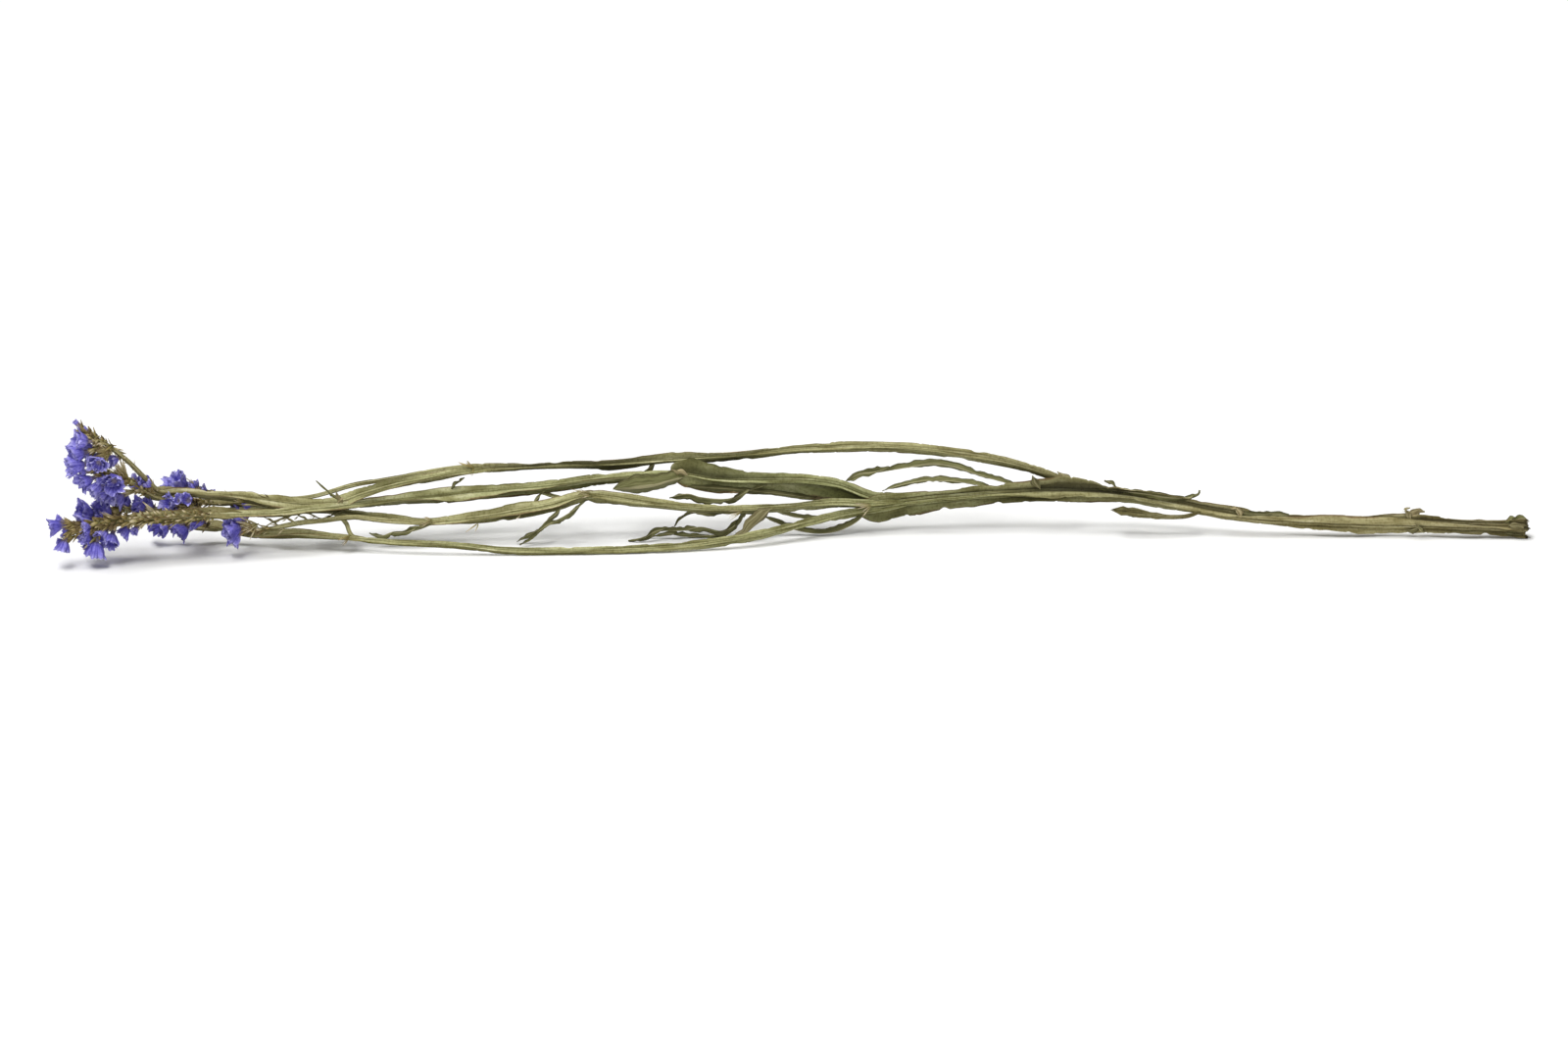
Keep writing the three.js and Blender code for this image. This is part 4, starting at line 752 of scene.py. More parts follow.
# rachis is the axis, which carries on the stalk. bare is how much of it, from its foot, has thorns
# alone, bulk how thick the bracts make it, and sheath how far the axis's own wings reach out. Each
# calyx has its foot, the middle of its rim and the rim's radius, and the range of tones says how pale
# they may be: a random tone, kept low as painted shade for the heads that lie in shade, the floor and
# hidden heads.
HEADS = {
    "back": {
        "stalk": "back", "bare": 0.45, "bulk": 1.5, "tones_and_shade": [0, 1], "sheath": [0.8, 0.6, 1],
        "rachis": [[-242, 28, 21.8], [-251, 28, 22.9], [-259, 28, 23.9], [-266, 28, 24.6]],
        "calyces": [
            [[-263.6, 28, 23.6], [-269.6, 28, 30.8], 5.8], [[-259.7, 28, 23.5], [-263.6, 28, 27.1], 4.2],
            [[-258, 28, 23.5], [-259.7, 28, 28.9], 1.6], [[-254.9, 28, 23], [-257.2, 27, 26.4], 2.2],
            [[-251.1, 28, 22.5], [-252.4, 28, 24.7], 1.3], [[-265.3, 28, 22.7], [-271.2, 30, 26.3], 4.2],
        ],
    },
    "top": {
        "stalk": "top", "bare": 0.7, "bulk": 2, "tones_and_shade": [0.4, 1], "sheath": [1.6, 1.2, 1.1],
        "rachis": [[-276, 11, 29], [-281, 10, 34], [-290, 8, 44], [-299, 6, 52], [-308, 5, 58]],
        "calyces": [
            [[-304.5, 4, 53.9], [-312.7, 3, 55.2], 4.4], [[-304.9, 4, 49.9], [-314.5, 2, 48.4], 4.6],
            [[-306.3, 3, 44], [-316.3, 1, 43.8], 6], [[-300.7, 8, 47.9], [-308.3, 5, 44.8], 4.4],
            [[-299.8, 9, 46.7], [-303.3, -4, 44.9], 4.9], [[-292.3, 11, 45.1], [-297.3, 8, 43.8], 3],
            [[-305.1, 7, 54.9], [-309.9, 7, 55], 3.4], [[-302, 9, 49], [-309.8, 8, 49.8], 4.2],
            [[-307, 5, 56.8], [-312.7, 4, 63.4], 1.2], [[-304.8, 6, 56.1], [-309.1, 5, 60], 1.3],
            [[-300.2, 9, 44], [-306, 7, 41.6], 3.8],
        ],
    },
    "under_top": {
        "stalk": "top", "bare": 0.35, "bulk": 1.8, "tones_and_shade": [0.2, 1], "sheath": [5, 4.4, 2.8, 1.6, 1.2],
        "rachis": [[-276, 12, 27], [-282, 9.5, 30], [-288, 7, 34.5], [-294, 6, 38]],
        "calyces": [
            [[-303, 6, 37.8], [-310.9, 4, 34.9], 4.6], [[-300, 6, 35.5], [-306.3, 3, 31.5], 4.6],
            [[-297.3, 8, 38], [-303.5, 6, 35.6], 3.8], [[-294, 12, 36.9], [-296.7, -2, 36.2], 5.6],
            [[-293.2, 11, 32.2], [-299.1, 6, 27.9], 4.8], [[-298, 10, 30.8], [-302.9, 8, 27.4], 3.8],
            [[-283.7, 11, 29.4], [-286.9, 9, 34.9], 3.4], [[-279.3, 12, 28.2], [-282.5, 10, 34.5], 3.2],
            [[-278.8, 13, 30.5], [-281.5, 12, 35.8], 1], [[-293, 14, 32.8], [-300, 12, 30.3], 4.2],
            [[-290.4, 14, 27.8], [-296.2, 11, 24.3], 4.2], [[-304.3, 7, 40.6], [-310.8, 6, 39.3], 2.2],
        ],
    },
    "front": {
        "stalk": "front", "bare": 0, "bulk": 3, "tones_and_shade": [0, 1],
        "sheath": [2.8, 3.4, 3.4, 3.2, 2.6, 1.8, 1.4],
        "rachis": [[-254, 4, 20], [-270, 2, 19.4], [-287, -2, 20], [-305, -4, 18.8], [-312, -4, 18.2]],
        "calyces": [
            [[-316.7, -4, 18.9], [-324.5, -5, 17.5], 4.2], [[-317, -3, 19.5], [-321.7, -2, 21.1], 2.1],
            [[-317.1, -4, 13.6], [-319, -6, 7], 3.6], [[-317.9, -3, 11.1], [-321.3, -3, 11.1], 1.4],
            [[-303.2, -2, 19.4], [-311.6, -5, 18.6], 4.6], [[-304.5, -2, 16.3], [-311.2, -6, 15.3], 4.2],
            [[-305.3, -2, 13.7], [-310.2, -4, 10.3], 3.6], [[-305.7, -2, 10.6], [-309.6, -2, 7.1], 1.2],
            [[-303.2, -2, 13.2], [-305.2, -6, 4.1], 5.2], [[-298.7, 0, 15.7], [-302.9, -5, 11.8], 4.2],
            [[-296.1, 0, 15.7], [-298.2, -5, 9], 4.4], [[-289.1, 2, 17.2], [-292.7, -1, 12.3], 3.4],
            [[-285.1, 3, 16.4], [-287.9, 0, 13.3], 2.1], [[-315.7, -3, 15.9], [-319, -1, 15], 2.8],
        ],
    },
    "inner": {
        "stalk": "inner", "bare": 0.25, "bulk": 1.8, "tones_and_shade": [0, 0.6], "sheath": [1.4, 1.2, 1.2],
        "rachis": [[-275, 15, 19.7], [-282, 14, 19.9], [-290, 13, 20.3], [-297, 12, 20.9]],
        "calyces": [
            [[-302, 14, 17.4], [-310.7, 7, 22.1], 5.2], [[-298.1, 15, 19.2], [-304.6, 14, 23.6], 3.4],
            [[-295.6, 14, 16.8], [-301.5, 10, 22.4], 4.2], [[-299, 14, 15.5], [-306.1, 11, 18.7], 4.2],
            [[-280.9, 14, 18.7], [-286.5, 8, 24.5], 3.8], [[-277.3, 16, 19.9], [-282.3, 13, 24.4], 3.4],
            [[-288.5, 17, 20.8], [-292, 16, 24.7], 3.2], [[-301.1, 15, 14.9], [-308.6, 13, 16.9], 4.4],
        ],
    },
    # its calyces are kept dark as painted shade
    "hidden": {
        "stalk": "hidden", "bare": 0.5, "bulk": 1.3, "tones_and_shade": [0, 0.4], "sheath": [0.8, 0.6, 0.9],
        "rachis": [[-215, 30, 14.8], [-222, 27.5, 15.8], [-230, 25, 17]],
        "calyces": [
            [[-232.7, 26, 17.3], [-239.7, 24, 17.1], 4], [[-232.7, 26, 16], [-243.7, 22, 17.2], 2.6],
            [[-234.4, 26, 15.1], [-240.5, 25, 12.8], 3.4],
        ],
    },
    "side": {
        "stalk": "side", "bare": 0.1, "bulk": 1.8, "tones_and_shade": [0, 1], "sheath": [1, 1, 1.2],
        "rachis": [[-229, 9, 11.8], [-233, 9, 11.5], [-237, 8, 11.3]],
        "calyces": [
            [[-239.5, 8, 13.3], [-247.5, 5, 11.6], 5.4], [[-239.5, 8, 11.6], [-244.8, 6, 6.4], 3.6],
            [[-239, 10, 14.6], [-244.1, 11, 15.7], 3.4], [[-240, 8, 12.9], [-246.6, 5, 14.7], 3.8],
        ],
    },
    # its calyces are kept dark as painted shade
    "floor": {
        "stalk": "floor", "bare": 0.3, "bulk": 1.5, "tones_and_shade": [0, 0.35], "sheath": [4, 3.4, 2.4, 1.2],
        "rachis": [[-252, 31, 7], [-261, 31, 7.6], [-268, 31, 7.9]],
        "calyces": [
            [[-272.9, 30, 9], [-279.1, 28, 7.4], 3.6], [[-270.3, 30, 8.5], [-275.7, 27, 6.3], 3.2],
            [[-264.3, 30, 8.8], [-270.5, 28, 6.8], 3.4], [[-261.7, 30, 8.3], [-267.5, 27, 4.8], 3.8],
            [[-255, 27, 9.9], [-260.9, 23, 12.4], 3.8], [[-274.6, 31, 9.6], [-280.5, 32, 7.7], 3.4],
        ],
    },
    "middle": {
        "stalk": "middle", "bare": 0.4, "bulk": 1.7, "tones_and_shade": [0.3, 0.9], "sheath": [3, 2.4, 1.4],
        "rachis": [[-247, 22, 20.2], [-253, 21, 20.8], [-261, 19, 21.9]],
        "calyces": [
            [[-266.3, 14, 21.6], [-273.6, 7, 24.9], 4.2], [[-263.2, 14, 22], [-268.6, 5, 27.2], 2.6],
            [[-259.8, 14, 21.9], [-264.7, 5, 27.5], 3], [[-266.8, 18, 19.2], [-272, 12, 20.5], 3.4],
        ],
    },
}

CALYX_ROUND = 60
CALYX_RINGS = (0, 0.1, 0.25, 0.45, 0.65, 0.83, 0.94, 1)  # up the funnel, from its throat to its rim
TUBE_RADIUS = 0.7
THROAT_RADIUS = 1.1  # where the tube opens into the funnel
CALYX_DEPTH = 1.35  # the funnel's length, in rim radii
CALYX_FLARE = 0.62  # how the funnel opens: 1 is a straight cone, less is a bell
FLARE_RANGE = (0.75, 1.35)  # shares of it that are drawn
CALYX_LOBE = 0.08  # how deep its five lobes are
CALYX_PLEAT = 0.17  # how deep the pleats are at the rim
PLEATS = ((0.35, 5), (0.45, 10), (0.35, 17))  # how strong, and how many round it
UNEVEN = ((0.25, 2), (0.12, 3))  # how unevenly they stand round it
CALYX_TEETH = 0.1  # how ragged the rim is
TEETH_SPACING = 1.6  # in corners of the rim
CALYX_CREASE = 0.085  # how deep each wave of the crumpling is
CREASES = ((1, 3), (2, -5), (3, 7), (4, -9), (7, 8), (11, -13))  # those waves, round and up the paper
PLEAT_RISE = 0.08  # how far the pleats and creases stagger the rim, in radii
CREASE_RISE = 0.03
CALYX_TILT = 0.35  # at most, how far the rim leans
SQUASH_RANGE = (0.6, 1)  # how flat the funnel is pressed
CALYX_DRIFT = 0.16  # how far the rim is pushed aside, in radii
PAPER = 0.07  # the paper's thickness
ABOVE_TABLE = 0.15  # no calyx hangs lower than this
INNER_CALYX = 0.93  # how far up a large calyx the crumpled paper inside it ends
INNER_RANGE = (0.5, 0.7)  # its radius, in those of the outer one
LARGE_CALYX = 3  # the least radius of a large one

BRACT_LONG = 6
BRACT_WIDE = 2
BRACT_SPANS = (-1, -0.5, 0, 0.5, 1)  # across it, from edge to edge
BRACT_ROWS = ((0, 0.5), (0.2, 1), (0.5, 1), (0.8, 0.55), (1, 0.05))  # how far up it, and how wide there
BRACT_CUP = 0.2  # how deep it is cupped, in its widths
BRACT_THICK = 0.03  # half its thickness, in its widths
BRACT_CURVE = 0.3  # how far its point bends back
BRACT_SPACING = 0.8  # along an axis 1 mm thick, from one bract's foot to the next
BUNDLE_SPACING = 0.36  # the same, along a spikelet
BUNDLE_SLICE = 0.5
THORN_SPACING = 2.6  # between the small bracts on the bare foot of a head's axis
AXIS_SLICE = 0.3
GOLDEN_ANGLE = math.radians(137.5)
# The least and the most of a bract's width, depth and length, in those of the bract that is copied.
SPIKELET_SIZES = ((0.25, 0.3, 0.45), (0.65, 1.6, 0.8))
AXIS_SIZES = ((0.4, 0.5, 0.4), (0.95, 2.4, 0.9))
THORN_SIZE = (0.35, 0.4, 0.5)
THORN_TONE = 0.9
LOWEST_BRACTS = 0.55  # their size, in those of the highest on the axis
# How a bract stands: how far its turn strays, how far out its foot is, how far back it starts, so that
# it grows out of what carries it, and how far its point spreads and strays.
SPIKELET_TURN, SPIKELET_OUT, SPIKELET_BACK, SPIKELET_SPREAD, SPIKELET_STRAY = 0.4, (0.2, 0.7), 1.5, 0.35, 0.12
AXIS_TURN, AXIS_OUT, AXIS_BACK, AXIS_SPREAD, AXIS_STRAY = 0.3, (0.3, 0.7), 2, 0.55, 0.22
THORN_OUT, THORN_SPREAD = 0.6, 0.8
AXIS_SEED = 7


def zigzag(angle):
    """A wave with straight sides, from -1 to 1."""
    return np.arcsin(np.cos(angle) * 0.98) * 2 / math.pi


def calyx(foot, rim, radius, rng, tones_and_shade):
    """One papery calyx: from its foot up the tube, out over the funnel and back down inside it."""
    along = (rim - foot) / np.linalg.norm(rim - foot)
    side, up = across(along)
    depth = min(CALYX_DEPTH * radius, 0.9 * np.linalg.norm(rim - foot))
    start = rim - along * depth
    angle = np.linspace(0, 2 * math.pi, CALYX_ROUND + 1)
    phases = rng.uniform(0, 2 * math.pi, 12)
    uneven = angle + sum(far * np.sin(times * angle + phase) for (far, times), phase in zip(UNEVEN, phases))
    pleats = sum(deep * zigzag(many * uneven + phase) for (deep, many), phase in zip(PLEATS, phases[2:]))
    lobes = 0.5 - 0.5 * np.cos(5 * uneven + phases[2])
    jagged = ripple(rng, np.arange(CALYX_ROUND + 1) % CALYX_ROUND, TEETH_SPACING)
    tilt = rng.uniform(0, CALYX_TILT) * np.cos(angle - phases[5])
    flare = CALYX_FLARE * rng.uniform(*FLARE_RANGE)
    squash, turn = rng.uniform(*SQUASH_RANGE), rng.uniform(0, math.pi)
    drift = rng.uniform(-CALYX_DRIFT, CALYX_DRIFT, 2) * radius
    rows = [(foot, 0, TUBE_RADIUS * 0.6, 0, 0), (foot, 0.4, TUBE_RADIUS, 0, 0)]
    for v, inside in [(v, 0) for v in CALYX_RINGS] + [(v, PAPER) for v in CALYX_RINGS[-2::-1]]:
        size = THROAT_RADIUS + (radius - THROAT_RADIUS) * v**flare - inside * 1.5
        rows.append((start, v * depth, size, v, inside))
    rows.append((start, 0.05 * depth, 0, 0, 0))
    places = []
    for middle, on, size, v, inside in rows:
        crease = sum(np.sin(k * angle + m * v + p) for (k, m), p in zip(CREASES, phases[6:]))
        swell = 1 + v * (CALYX_PLEAT * pleats + CALYX_CREASE * crease) - CALYX_LOBE * lobes * v**3
        rise = v**8 * CALYX_TEETH * jagged + v**2 * (tilt + PLEAT_RISE * pleats + CREASE_RISE * crease)
        forward = on - inside - depth * CALYX_LOBE * lobes * v**3 + radius * rise
        x, y = turned(size * swell, 0, angle - turn)
        x, y = turned(x * (1 - (1 - squash) * v), y, turn)
        x, y = x + drift[0] * v**2, y + drift[1] * v**2
        places.append(middle + np.outer(forward, along) + np.outer(x, side) + np.outer(y, up))
    places = np.array(places)
    places[:, :, 2] = np.maximum(places[:, :, 2], ABOVE_TABLE)
    piece, round_it, on = sheet("calyx", CALYX_ROUND, len(rows) - 1)
    reach = np.array([v for *_, v, _ in rows])[on]
    # a random tone; the floor and hidden heads draw it from a low range, as painted shade
    tone = np.full(len(on), rng.uniform(*tones_and_shade))
    return shape(piece, metres(places[on, round_it]), reach=reach, tone=tone, fold=pleats[round_it])


def bract_model():
    """One bract: a thin scale with a point, cupped lengthwise, its back towards +Y."""
    places = []
    for step, wide in BRACT_ROWS:
        row = []
        for face, spans in ((1, BRACT_SPANS), (-1, BRACT_SPANS[::-1])):
            for span in spans:
                cup = BRACT_CUP * wide * (1 - span**2) + face * BRACT_THICK
                row.append((span * wide / 2, cup + BRACT_CURVE * step**2, step))
        places.append([*row, row[0]])
    piece, round_it, on = sheet("bract", len(places[0]) - 1, len(BRACT_ROWS) - 1)
    places = np.array(places)[on, round_it]
    reach, places = places[:, 2], places * (BRACT_WIDE, BRACT_WIDE, BRACT_LONG)
    return shape(piece, places, reach=reach, tone=0 * on, fold=0 * on)


bract = bract_model()


def lay_bract(foot, towards, outwards, size, tone):
    """A copy of the bract with its foot at a place, pointing one way and with its back another."""
    copy = bract.copy()
    copy.data = bract.data.copy()
    bpy.context.collection.objects.link(copy)
    z = Vector(towards).normalized()
    y = (Vector(outwards) - z * Vector(outwards).dot(z)).normalized()
    turn = Matrix((y.cross(z), y, z)).transposed().to_4x4()
    scale = Matrix.Diagonal((*np.array(size) * 0.001, 1))
    copy.matrix_world = Matrix.Translation(metres(foot)) @ turn @ scale
    tones_and_shade = np.full(len(copy.data.vertices), tone, np.float32)
    copy.data.attributes["tone"].data.foreach_set("value", tones_and_shade)
    return copy


def join(name, pieces):
    """Pieces as one object, with its own origin at the frame's."""
    bpy.ops.object.select_all(action="DESELECT")
    for one in pieces:
        one.select_set(True)
    bpy.context.view_layer.objects.active = pieces[0]
    bpy.ops.object.join()
    bpy.ops.object.transform_apply(location=True, rotation=True, scale=True)
    pieces[0].name = pieces[0].data.name = name
    return pieces[0]


# Dried calyx: violet paper, tan where it leaves its tube, with darker veins that run up it. A painted
# highlight lies where the pleats stand out and painted shade in their troughs, and the heads that lie
# in shade get darker tones as painted shade.
calyx_paper, tree, shader = new_material("dried violet calyx paper", 0.7)
VIOLETS = ((0, "#b5a7a0"), (0.08, "#aaa2cc"), (0.3, "#9b94e4"), (0.75, "#b0a9ee"), (1, "#dfdcf8"))
violet = ramp(tree, noted(tree, "reach"), *VIOLETS)
fold = add(tree, "MapRange", {"From Min": -0.8, "From Max": 0.8}, Value=noted(tree, "fold"))
# painted highlight on the pleats' crests and painted shade in their troughs, from how far each pleat stands
# out
painted_pleat_light = ramp(tree, fold.outputs["Result"], (0.1, "#8d87c6"), (0.5, "#dcdaf2"), (0.9, "#ffffff"))
with_pleat_light = blend(tree, "MULTIPLY", 0.75, violet, painted_pleat_light)
mottle = ramp(tree, speckles(tree, 700), (0.38, "#9f99cc"), (0.58, "#ffffff"))
mottled = blend(tree, "MULTIPLY", 0.55, with_pleat_light, mottle)
veins = fibres(tree, spacing=0.025, length=0.7)
veined = blend(tree, "MULTIPLY", 0.45, mottled, ramp(tree, veins, (0.42, "#8a84c4"), (0.56, "#ffffff")))
# darker with a low tone: random from calyx to calyx, and painted shade on the heads that lie in shade
tones_and_shade = ramp(tree, noted(tree, "tone"), (0, "#857ec4"), (0.45, "#d8d6f0"), (0.8, "#ffffff"))
toned = blend(tree, "MULTIPLY", 0.7, veined, tones_and_shade)
surface(tree, shader, toned, veins, depth=0.25)

# Dried bract: straw, with a brown point, a greener foot and paler paper at its edges.
bract_straw, tree, shader = new_material("dried straw bract", 0.7)
up_it, tone = noted(tree, "reach"), noted(tree, "tone")
straw = ramp(tree, up_it, (0, "#8d8a52"), (0.35, "#c6b988"), (0.75, "#efe2c2"), (1, "#bba27a"))
browned = ramp(tree, tone, (0, "#69563a"), (0.25, "#a89a74"), (0.5, "#dcd6b0"), (0.8, "#ffffff"))
mixed = blend(tree, "MULTIPLY", 0.9, straw, browned)
lines = fibres(tree, spacing=0.05, length=2)
streaked = blend(tree, "MULTIPLY", 0.8, mixed, ramp(tree, lines, (0.4, "#7d7250"), (0.56, "#ffffff")))
surface(tree, shader, streaked, lines, depth=0.2)


def outwards_from(side, up, here, turn):
    """The way out of a line at one of its points, turned round it."""
    return side[here] * math.cos(turn) + up[here] * math.sin(turn)


def faded_tone(rng, on):
    """How pale a bract is, from 0 to 1: those towards an axis's end are browner."""
    return rng.uniform(0, 1) * (1 - 0.6 * on**3)


def spikelet(points, foot, rim, radius, rng):
    """The bundle of bracts that carries a calyx, from the head's axis to round its tube."""
    near = np.argmin(np.linalg.norm(points - foot, axis=1))
    near = max(0, near - int(0.5 * np.linalg.norm(points[near] - foot) / AXIS_SLICE))
    way = (rim - foot) / np.linalg.norm(rim - foot)
    sheath_end = foot + way * max(0.3, np.linalg.norm(rim - foot) - CALYX_DEPTH * radius)
    route = [points[near], (points[near] + foot) / 2 + way * -0.8, foot, sheath_end]
    line, along, side, up, distance = follow(route, BUNDLE_SLICE)
    bracts = []
    for k in range(int(distance[-1] / BUNDLE_SPACING) + 3):
        here = max(0, min(len(distance) - 7, int(k * BUNDLE_SPACING / BUNDLE_SLICE)))
        turn = k * GOLDEN_ANGLE + rng.uniform(-SPIKELET_TURN, SPIKELET_TURN)
        outwards = outwards_from(side, up, here, turn)
        place = line[here] + outwards * rng.uniform(*SPIKELET_OUT) - along[here] * SPIKELET_BACK
        towards = along[here] + outwards * rng.uniform(0, SPIKELET_SPREAD)
        towards = towards + rng.normal(0, SPIKELET_STRAY, 3)
        size = rng.uniform(*SPIKELET_SIZES)
        bracts.append(lay_bract(place, towards, outwards, size, faded_tone(rng, near / len(points))))
    return bracts


for name, head in HEADS.items():
    rng = np.random.default_rng(sum(map(ord, name)))
    axis, along, side, up, distance = follow(head["rachis"], AXIS_SLICE)
    first, last, bulk = int(head["bare"] * (len(distance) - 1)), len(distance) - 1, head["bulk"]
    calyces, bracts = [], []
    for foot, rim, radius in head["calyces"]:
        foot, rim = np.array(foot, float), np.array(rim, float)
        calyces.append(calyx(foot, rim, radius, rng, head["tones_and_shade"]))
        if radius > LARGE_CALYX:
            inner = foot + (rim - foot) * INNER_CALYX
            calyces.append(calyx(foot, inner, radius * rng.uniform(*INNER_RANGE), rng, head["tones_and_shade"]))
        bracts += spikelet(axis[first:], foot, rim, radius, rng)
    count = int((distance[-1] - distance[first]) * bulk / BRACT_SPACING)
    for k in range(count):
        here = first + int((last - first) * (k + 0.3) / count)
        outwards = outwards_from(side, up, here, k * GOLDEN_ANGLE + rng.uniform(-AXIS_TURN, AXIS_TURN))
        place = axis[here] + outwards * bulk * rng.uniform(*AXIS_OUT) - along[here] * AXIS_BACK
        astray = rng.normal(0, AXIS_STRAY, 3)
        towards = along[here] + outwards * rng.uniform(0, AXIS_SPREAD) + astray
        size = rng.uniform(*AXIS_SIZES) * (LOWEST_BRACTS + (1 - LOWEST_BRACTS) * (k / count) ** 0.7)
        bracts.append(lay_bract(place, towards, outwards, size, faded_tone(rng, k / count)))
    for k in range(int(distance[first] / THORN_SPACING)):
        here = int((k + rng.uniform(0.2, 0.8)) * THORN_SPACING / AXIS_SLICE)
        outwards = outwards_from(side, up, here, k * GOLDEN_ANGLE)
        place, towards = axis[here] + outwards * THORN_OUT, along[here] + outwards * THORN_SPREAD
        bracts.append(lay_bract(place, towards, outwards, THORN_SIZE, THORN_TONE))
    sizes = {wing: head["sheath"] for wing in STALK_WINGS}
    sizes["route"] = [STALKS[head["stalk"]]["route"][-2], *head["rachis"]]
    sizes |= {"core": [0.6, 0.5, bulk * 0.5], "age": [0.7]}
    middle = stem("axis_" + name, sizes, STALK_WINGS, AXIS_SEED)
    calyces, bracts = join("calyces_" + name, calyces), join("bracts_" + name, bracts)
    for piece, material, kind in (
        (middle, dried_stem, "stem"), (calyces, calyx_paper, "calyx"), (bracts, bract_straw, "bract")
    ):
        piece.data.materials.append(material)
        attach(piece, "root")
        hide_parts("head_" + name)

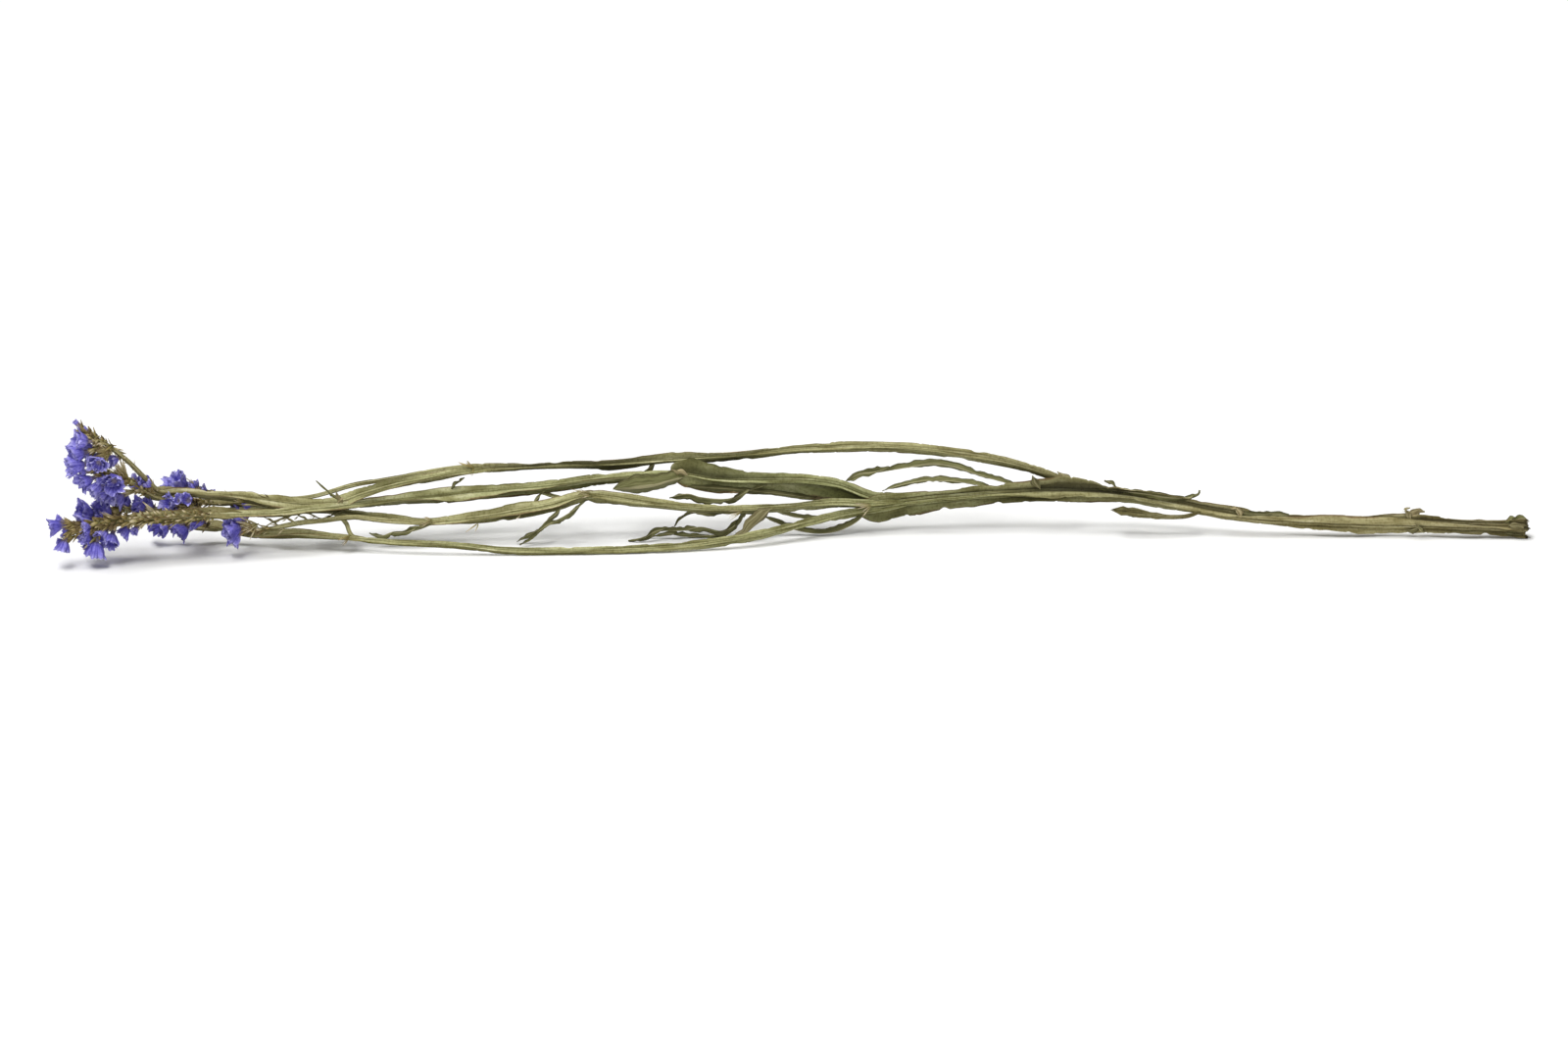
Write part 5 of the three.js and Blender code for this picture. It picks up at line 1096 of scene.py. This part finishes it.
# ------------------------------------------------------------------ scales and tufts
# Small dry scales, made like the bracts: splinters round the nodes and forks, little fibres that cross
# between two stalks, bracts that stand away from the axes, and the pale empty florets of spikelets
# that have lost their calyces. They grow out of the piece that they are named with.
TUFTS = (  # the piece, the foot, the tips, scales to each tip, how far they stray, how wide, how pale
    # the fork
    ("main_stem", [37.6, 26, 13.1], [[31.9, 24, 12], [33.6, 24, 9.3], [30.6, 25, 13.5]], 3, 0.8, 0.55, 1),
    ("middle_branch", [-19.4, 19, 13.4], [[-25.5, 17, 13.2], [-26, 17, 10.5]], 4, 1.2, 0.4, 0.9),
    ("middle_branch", [-86.4, 22, 21.4], [[-91.6, 21, 23.6], [-90.8, 20, 20.7],
        [-95.1, 21, 24.5]], 3, 0.8, 0.55, 0.95),
    ("middle_branch", [-116.6, 21, 13.4], [[-119.3, 20, 10.6]], 2, 0.5, 0.4, 0.9),
    ("middle_branch", [-136.1, 20, 9.5], [[-141.8, 19, 6.3], [-137.5, 19, 6.7]], 2, 0.5, 0.5, 0.9),
    ("middle_branch", [-156.3, 21, 11], [[-161.5, 20, 8.7], [-159.8, 20, 12.2]], 3, 0.8, 0.6, 0.8),
    ("arch_branch", [-136.9, 39, 29.8], [[-143.4, 39, 32.6], [-139.6, 38, 33.7],
        [-138.3, 38, 26.6]], 3, 0.9, 0.7, 0.55),
    ("low_branch", [-192.8, 10, 7.5], [[-198.5, 9, 5.6], [-196, 8, 4.1]], 3, 0.6, 0.5, 0.5),
    ("stalk_top", [-227.2, 18, 22.5], [[-232.4, 17, 25.1], [-229.8, 17, 25.4]], 2, 0.8, 0.5, 0.15),
    ("stalk_top", [-238.9, 17, 22.5], [[-244.6, 16, 26.4], [-244.1, 16, 24.2]], 2, 0.6, 1.2, 0.6),
    # little fibres that cross between two stalks
    ("stalk_side", [-220.4, 17, 14.6], [[-222.6, 16, 13.6], [-223, 16, 15.8]], 2, 0.5, 0.4, 0.6),
    ("stalk_side", [-214.7, 18, 15.1], [[-217.3, 17, 16.8], [-216.9, 17, 13.6]], 2, 0.5, 0.4, 0.4),
    ("stalk_side", [-207.8, 18, 14.5], [[-210.4, 17, 16.2], [-210, 17, 13.5]], 2, 0.5, 0.4, 0.6),
    ("stalk_side", [-200.5, 17, 15.1], [[-203.6, 17, 14.3], [-202.7, 17, 16.9]], 2, 0.5, 0.4, 0.3),
    ("stalk_side", [-220, 16, 11.3], [[-225.3, 14, 9.7], [-224, 14, 7.4],
        [-227, 14, 12.4]], 2, 0.6, 0.45, 0.9),
    # bracts between the heads
    ("head_under_top", [-289.9, 9, 35.8], [[-295.7, 6, 43.9], [-293, 8, 44.2], [-297.9, 5, 40.6],
        [-294.5, 4, 39.9], [-291.9, 5, 41.8]], 4, 1.8, 0.9, 0.75),
    ("head_top", [-296.9, 7, 48.1], [[-303.7, 2, 47.3], [-304.1, 3, 50.6],
        [-302.3, 4, 52.1]], 4, 0.8, 0.9, 0.5),
    # empty florets
    ("head_side", [-233.1, 8, 14.1], [[-242.1, 8, 18.3], [-243.5, 7, 16.4], [-242.7, 6, 13.9],
        [-241, 6, 11.7], [-239.2, 6, 9.9], [-236.6, 7, 8.2]], 2, 0.5, 0.7, 1),
    ("head_middle", [-256.4, 19, 17], [[-266.5, 17, 18.6], [-265.6, 17, 21.2], [-263.5, 17, 23],
        [-260.4, 17, 24.2]], 3, 0.6, 0.6, 1),
    ("head_back", [-258.8, 28, 25.7], [[-264.1, 27, 31], [-261.9, 27, 30.5]], 3, 0.6, 0.5, 1),
    # pale bracts that stand away from the axis
    ("head_front", [-281.8, 2, 18.4], [[-287.9, 0, 23.1], [-290.2, -1, 21.2], [-287.6, -1, 17.1],
        [-284.5, 0, 15.4]], 3, 1.2, 1, 1),
    ("head_front", [-294.8, 0, 19.2], [[-301.4, -2, 23], [-302.8, -3, 20.1],
        [-300.6, -2, 16.7]], 3, 1.2, 1, 0.9),
    ("head_front", [-267.5, 3, 18.3], [[-274.9, 2, 21.8], [-273.1, 2, 15.6]], 3, 1, 0.9, 0.9),
    # pale long bracts
    ("head_front", [-275.9, 5, 19.7], [[-283.3, 4, 26.4], [-282.5, 3, 24.4]], 2, 0.4, 0.9, 1),
    ("head_front", [-304.2, -4, 12.9], [[-309.9, -6, 7.7], [-308.6, -6, 9]], 2, 0.4, 0.6, 1),
)
TUFT_STRAY = 0.5  # how far apart the feet of one tuft's scales stand
TUFT_WIDTHS = (0.35, 0.6)  # a scale's width, drawn in shares of what the table says
TUFT_DEPTH = 0.5
TUFT_SEED = 600

tufts = {}
rng = np.random.default_rng(TUFT_SEED)
for node, foot, tips, count, stray, wide, pale in TUFTS:
    for tip in tips * count:
        start = foot + rng.uniform(-TUFT_STRAY, TUFT_STRAY, 3)
        towards = np.array(tip) - foot + rng.uniform(-stray, stray, 3)
        size = (wide * rng.uniform(*TUFT_WIDTHS), wide * TUFT_DEPTH, np.linalg.norm(towards) / BRACT_LONG)
        tone = min(1, max(0, pale + rng.uniform(-0.2, 0.1)))
        scale = lay_bract(start, towards, rng.normal(0, 1, 3) - (0, 1, 0), size, tone)
        tufts.setdefault(node, []).append(scale)
for node, scales in tufts.items():
    piece = join("scales_" + node, scales)
    piece.data.materials.append(bract_straw)
    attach(piece, "root")
    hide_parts(node)

bpy.data.objects.remove(bract)
